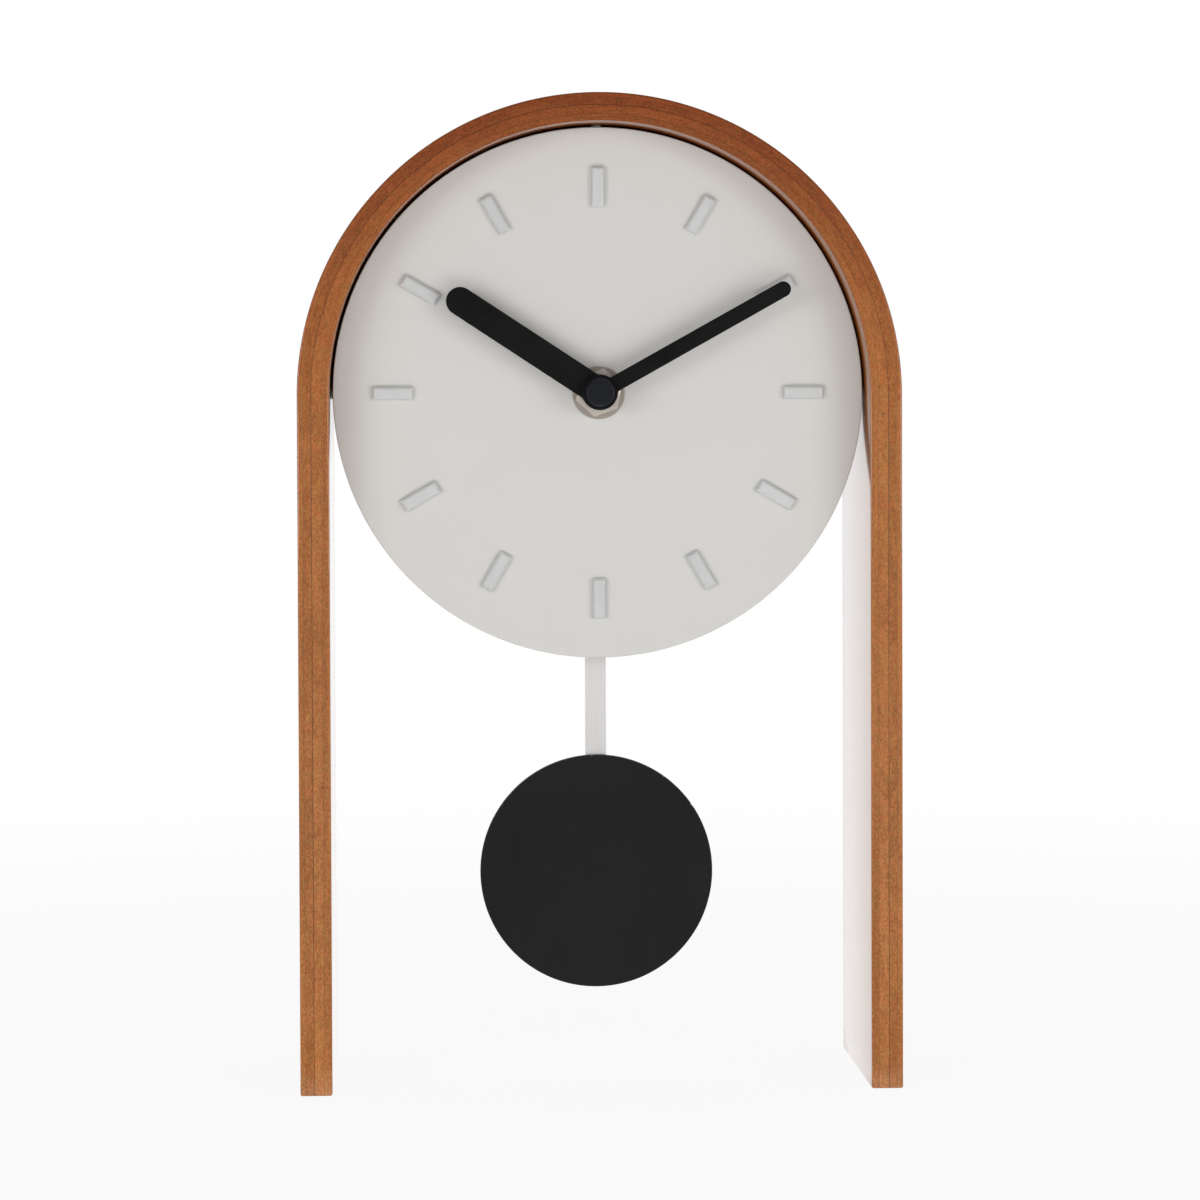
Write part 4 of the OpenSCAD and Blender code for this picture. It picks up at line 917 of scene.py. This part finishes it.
class CLOCK_OT_case(Operator):
    """Finish the movement case and its screws, and build the ribbed setting knob"""

    bl_idname = "clock.case"
    bl_label = "Movement case"

    def execute(self, context):
        settings = context.scene.clock_movement
        plastic = moulded_finish("case_plastic", settings.case, 0.5, 1600, 0.00003)
        dress(plastic, "movement_case_front", "movement_case_back", "train_plate")
        dress(metal_finish("case_screw_steel", settings.steel, 0.26), "case_screws", "plate_screws")
        low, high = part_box("setting_knob")
        place, radius = (low + high) / 2, (high.x - low.x) / 2
        angles = ring_angles(240)
        # Ribs: the outer radius dips by a raised cosine 24 times round.
        ribs = 0.00035 * (0.5 - 0.5 * np.cos(24 * angles)) ** 1.5
        rows = [
            (0, low.y),
            (radius - 0.0006, low.y),
            (radius - 0.0002 - 0.5 * ribs, low.y + 0.0002),
            (radius - ribs, low.y + 0.0006),
            (radius - ribs, high.y - 0.0006),
            (radius - 0.00015 - 0.6 * ribs, high.y - 0.0002),
            (radius - 0.0006, high.y),
            (radius - 0.0014, high.y),
            (radius - 0.0017, high.y - 0.0005),
            (0.0008, high.y - 0.0006),
            (0, high.y - 0.0006),
        ]
        knob = around("setting_knob_ribbed", angles, rows, (place.x, place.z), crease=45)
        finish = moulded_finish("knob_plastic", settings.white_plastic, 0.36, 1200)
        settle(knob, finish, "setting_knob", "setting_assembly")
        return {"FINISHED"}


class CLOCK_OT_battery(Operator):
    """Build the battery and finish its contacts"""

    bl_idname = "clock.battery"
    bl_label = "Battery"

    def execute(self, context):
        settings = context.scene.clock_movement
        low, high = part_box("battery")
        place, radius = (low + high) / 2, (high.x - low.x) / 2
        top, button = high.z - 0.0012, 0.00275
        section = eased_line(
            [
                [0, low.z],
                [radius - 0.0022, low.z],
                [radius - 0.0024, low.z + 0.0003],
                [radius - 0.0011, low.z + 0.0003],
                [radius - 0.0010, low.z],
                [radius, low.z],
                [radius, top],
                [radius - 0.0012, top],
                [radius - 0.0015, top - 0.0004],
                [button, top - 0.0004],
                [button, high.z],
                [0, high.z],
            ],
            [0.0001, 0.0001, 0.0001, 0.0001, 0.0005, 0.0004, 0.0003, 0.0002, 0.0002, 0.0004],
            5,
        )
        # The section goes round the upright axis: a point is (x + reach cos angle, y + reach sin angle,
        # height).
        reach, height = section[:, 0, None], section[:, 1, None]
        angles = ring_angles(128)
        x, y = place.x + reach * np.cos(angles), place.y + reach * np.sin(angles)
        points = np.stack([x, y, np.broadcast_to(height, x.shape)], axis=-1)
        cell = surface("battery_cell_round", points, crease=50)
        printed = battery_finish("battery_sleeve", settings, low.z, top)
        settle(cell, printed, "battery", "battery_cell")
        springs = metal_finish("contact_nickel", context.scene.clock_hands.nickel, 0.2, (2400, 300, 300))
        dress(springs, "battery_contact_negative", "battery_contact_positive")
        return {"FINISHED"}


class CLOCK_OT_works(Operator):
    """Finish the wheels, the step motor, the coils and the circuit board"""

    bl_idname = "clock.works"
    bl_label = "Works"

    def execute(self, context):
        settings = context.scene.clock_movement
        glow = {"Subsurface_Weight": 0.15, "Subsurface_Scale": 0.0004}
        plastic = moulded_finish("wheel_plastic", settings.white_plastic, 0.33, 1500, 0.000006, **glow)
        dress(plastic, "minute_wheel", "centre_wheel", "third_wheel", "seconds_wheel", "fifth_wheel", "rotor")
        dress(plastic, "step_coil_bobbin", "drive_coil_bobbin")
        dress(metal_finish("hour_wheel_brass", context.scene.clock_hands.brass, 0.28), "hour_wheel")
        dress(metal_finish("arbor_steel", settings.steel, 0.2, (300, 2400, 300)), "minute_arbor")
        dress(metal_finish("soft_iron", settings.iron, 0.42), "stator", "step_coil_core")
        dress(wound_finish("step_coil_wire", settings.copper, 0), "step_coil_winding")
        dress(wound_finish("drive_coil_wire", settings.copper, 1), "drive_coil_winding")
        dress(board_finish("circuit_board_mask", settings), "circuit_board")
        dress(moulded_finish("chip_resin", (0.014, 0.014, 0.015), 0.55, 2200), "control_chip")
        dress(metal_finish("crystal_can", settings.steel, 0.16), "quartz_crystal")
        return {"FINISHED"}


class CLOCK_OT_stage(Operator):
    """Make the floor, the light and the camera"""

    bl_idname = "clock.stage"
    bl_label = "Stage"

    def reflected(self, rays, direction, settings):
        """Whether a ray is a reflection or passes through glass, and the light it then finds in its
        direction: the white wall behind the clock, and the dim room in front of it."""
        mirrored = calc("MAXIMUM", rays["Is Glossy Ray"], rays["Is Transmission Ray"])
        return mirrored, within(direction[1], -0.2, 0.6, settings.room_level, 1.0)

    def floor(self, settings):
        radii, angles = np.array([0.0, 0.25, 0.7, 1.4, 2.6])[:, None], ring_angles(96)
        x, y = radii * np.sin(angles), radii * np.cos(angles)
        floor = surface("studio_floor", np.stack([x, y, np.zeros_like(x)], axis=-1), caps=False)
        material, shader, place = finish_base(
            "studio_floor_paper", settings.floor, 0.9, Specular_IOR_Level=0.1
        )
        tree = material.node_tree
        relief(shader, grain(place, 700), 0.00002, 0.1)
        # The floor fades into the white surroundings with its distance from the clock, for the eye
        # only.
        reach = vector_math("LENGTH", place, "Value")
        fade = within(reach, 0.2, 0.9, settings.floor_white, 1.0)
        rays = wire(tree, "ShaderNodeLightPath").outputs
        # Reflections go by the bearing from a point just ahead of the clock.
        bearing = vector_math("NORMALIZE", stretch(place, (1, 1, 1), (0, 0.06, 0)), "Vector")
        mirrored, found = self.reflected(rays, split(bearing), settings)
        seen = calc("MAXIMUM", times(rays["Is Camera Ray"], fade), mirrored)
        level = calc("MAXIMUM", found, rays["Is Camera Ray"])
        white = wire(tree, "ShaderNodeEmission", {"Color": (1, 1, 1), "Strength": level})
        mixed = wire(tree, "ShaderNodeMixShader", {0: seen, 1: shader.outputs[0], 2: white.outputs[0]})
        feed(tree.nodes["Material Output"], Surface=mixed.outputs[0])
        floor.data.materials.append(material)

    def sky(self, settings):
        world = bpy.data.worlds.new("studio")
        bpy.context.scene.world = world
        world.use_nodes = True
        tree = world.node_tree
        rays = wire(tree, "ShaderNodeLightPath").outputs
        direction = split(wire(tree, "ShaderNodeTexCoord").outputs["Generated"])
        # Even light is brighter from the white wall behind the clock and fades towards the ceiling.
        # Reflections show that wall and the dim room in front of it, and the eye sees white all round.
        even = within(direction[1], -0.1, 0.5, settings.sky_level, settings.wall_level)
        even = times(even, within(direction[2], 0.0, 1.0, 1.0, settings.ceiling_share))
        mirrored, found = self.reflected(rays, direction, settings)
        level = wire(tree, "ShaderNodeMix", {0: mirrored, 2: even, 3: found}).outputs[0]
        level = wire(tree, "ShaderNodeMix", {0: rays["Is Camera Ray"], 2: level, 3: 1.0}).outputs[0]
        feed(tree.nodes["Background"], Color=(1, 1, 1), Strength=level)

    def lamp(self, name, place, aim, size, power, hidden=False):
        """Soft lamp, size wide and high. A hidden one lights the clock, but no view or reflection shows
        it."""
        data = bpy.data.lights.new(name, "AREA")
        data.shape, data.energy = "ELLIPSE", power
        data.size, data.size_y = size
        lamp = bpy.data.objects.new(name, data)
        lamp.visible_camera = lamp.visible_glossy = not hidden
        bpy.context.scene.collection.objects.link(lamp)
        lamp.location = place
        lamp.rotation_euler = (lamp.location - Vector(aim)).to_track_quat("Z", "Y").to_euler()

    def lamps(self, settings):
        aim, low_aim = (0, 0, ARCH_HIGH.z / 2), (0, -0.12, 0.28)
        self.lamp("front_lamp", (0, -1.6, 0.28), aim, (1.1, 0.55), settings.front_power, hidden=True)
        self.lamp("low_lamp", (0, -0.32, 0.03), low_aim, (0.9, 0.25), settings.low_power, hidden=True)
        self.lamp("left_lamp", (-1.1, -1.2, 0.3), aim, (0.9, 0.45), settings.side_power)
        self.lamp("right_lamp", (1.1, -1.2, 0.3), aim, (0.9, 0.45), settings.side_power)

    def camera(self, settings):
        # Turn, tilt and roll in radians and the place in metres, from the photograph's perspective.
        turn, tilt, roll = -0.05450, -0.02243, -0.00357
        place = (-0.05332, ARCH_LOW.y - 0.97062, 0.18438)
        level = Matrix.Rotation(turn, 3, "Z") @ Matrix.Rotation(tilt + TURN / 4, 3, "X")
        data = bpy.data.cameras.new("camera")
        data.sensor_width = 36
        data.lens, data.shift_y = settings.focal_length, settings.lens_shift
        data.clip_start, data.clip_end = 0.01, 20
        camera = bpy.data.objects.new("camera", data)
        bpy.context.scene.collection.objects.link(camera)
        camera.matrix_world = Matrix.LocRotScale(place, level @ Matrix.Rotation(roll, 3, "Z"), None)
        bpy.context.scene.camera = camera

    def execute(self, context):
        for part in (self.floor, self.sky, self.lamps, self.camera):
            part(context.scene.clock_stage)
        context.scene.view_settings.view_transform = "Standard"
        return {"FINISHED"}


OPERATORS = (
    CLOCK_OT_stage,
    CLOCK_OT_arch,
    CLOCK_OT_dial,
    CLOCK_OT_markers,
    CLOCK_OT_centre,
    CLOCK_OT_hands,
    CLOCK_OT_pendulum,
    CLOCK_OT_case,
    CLOCK_OT_battery,
    CLOCK_OT_works,
)


class CLOCK_PT_parts(Panel):
    """Lists the clock's settings and the steps that build it"""

    bl_idname = "CLOCK_PT_parts"
    bl_label = "Desk pendulum clock"
    bl_space_type = "VIEW_3D"
    bl_region_type = "UI"
    bl_category = "Clock"

    def draw(self, context):
        layout = self.layout
        for operator in OPERATORS:
            layout.operator(operator.bl_idname)
        for name, group in GROUPS.items():
            box = layout.box()
            for key in group.__annotations__:
                box.prop(getattr(context.scene, name), key)


CLASSES = (*GROUPS.values(), *OPERATORS, CLOCK_PT_parts)


def register():
    for cls in CLASSES:
        bpy.utils.register_class(cls)
    for name, group in GROUPS.items():
        setattr(bpy.types.Scene, name, PointerProperty(type=group))


def unregister():
    for name in GROUPS:
        delattr(bpy.types.Scene, name)
    for cls in reversed(CLASSES):
        bpy.utils.unregister_class(cls)


def main():
    register()
    for operator in OPERATORS:
        group, name = operator.bl_idname.split(".")
        getattr(getattr(bpy.ops, group), name)()


if __name__ == "__main__":
    main()
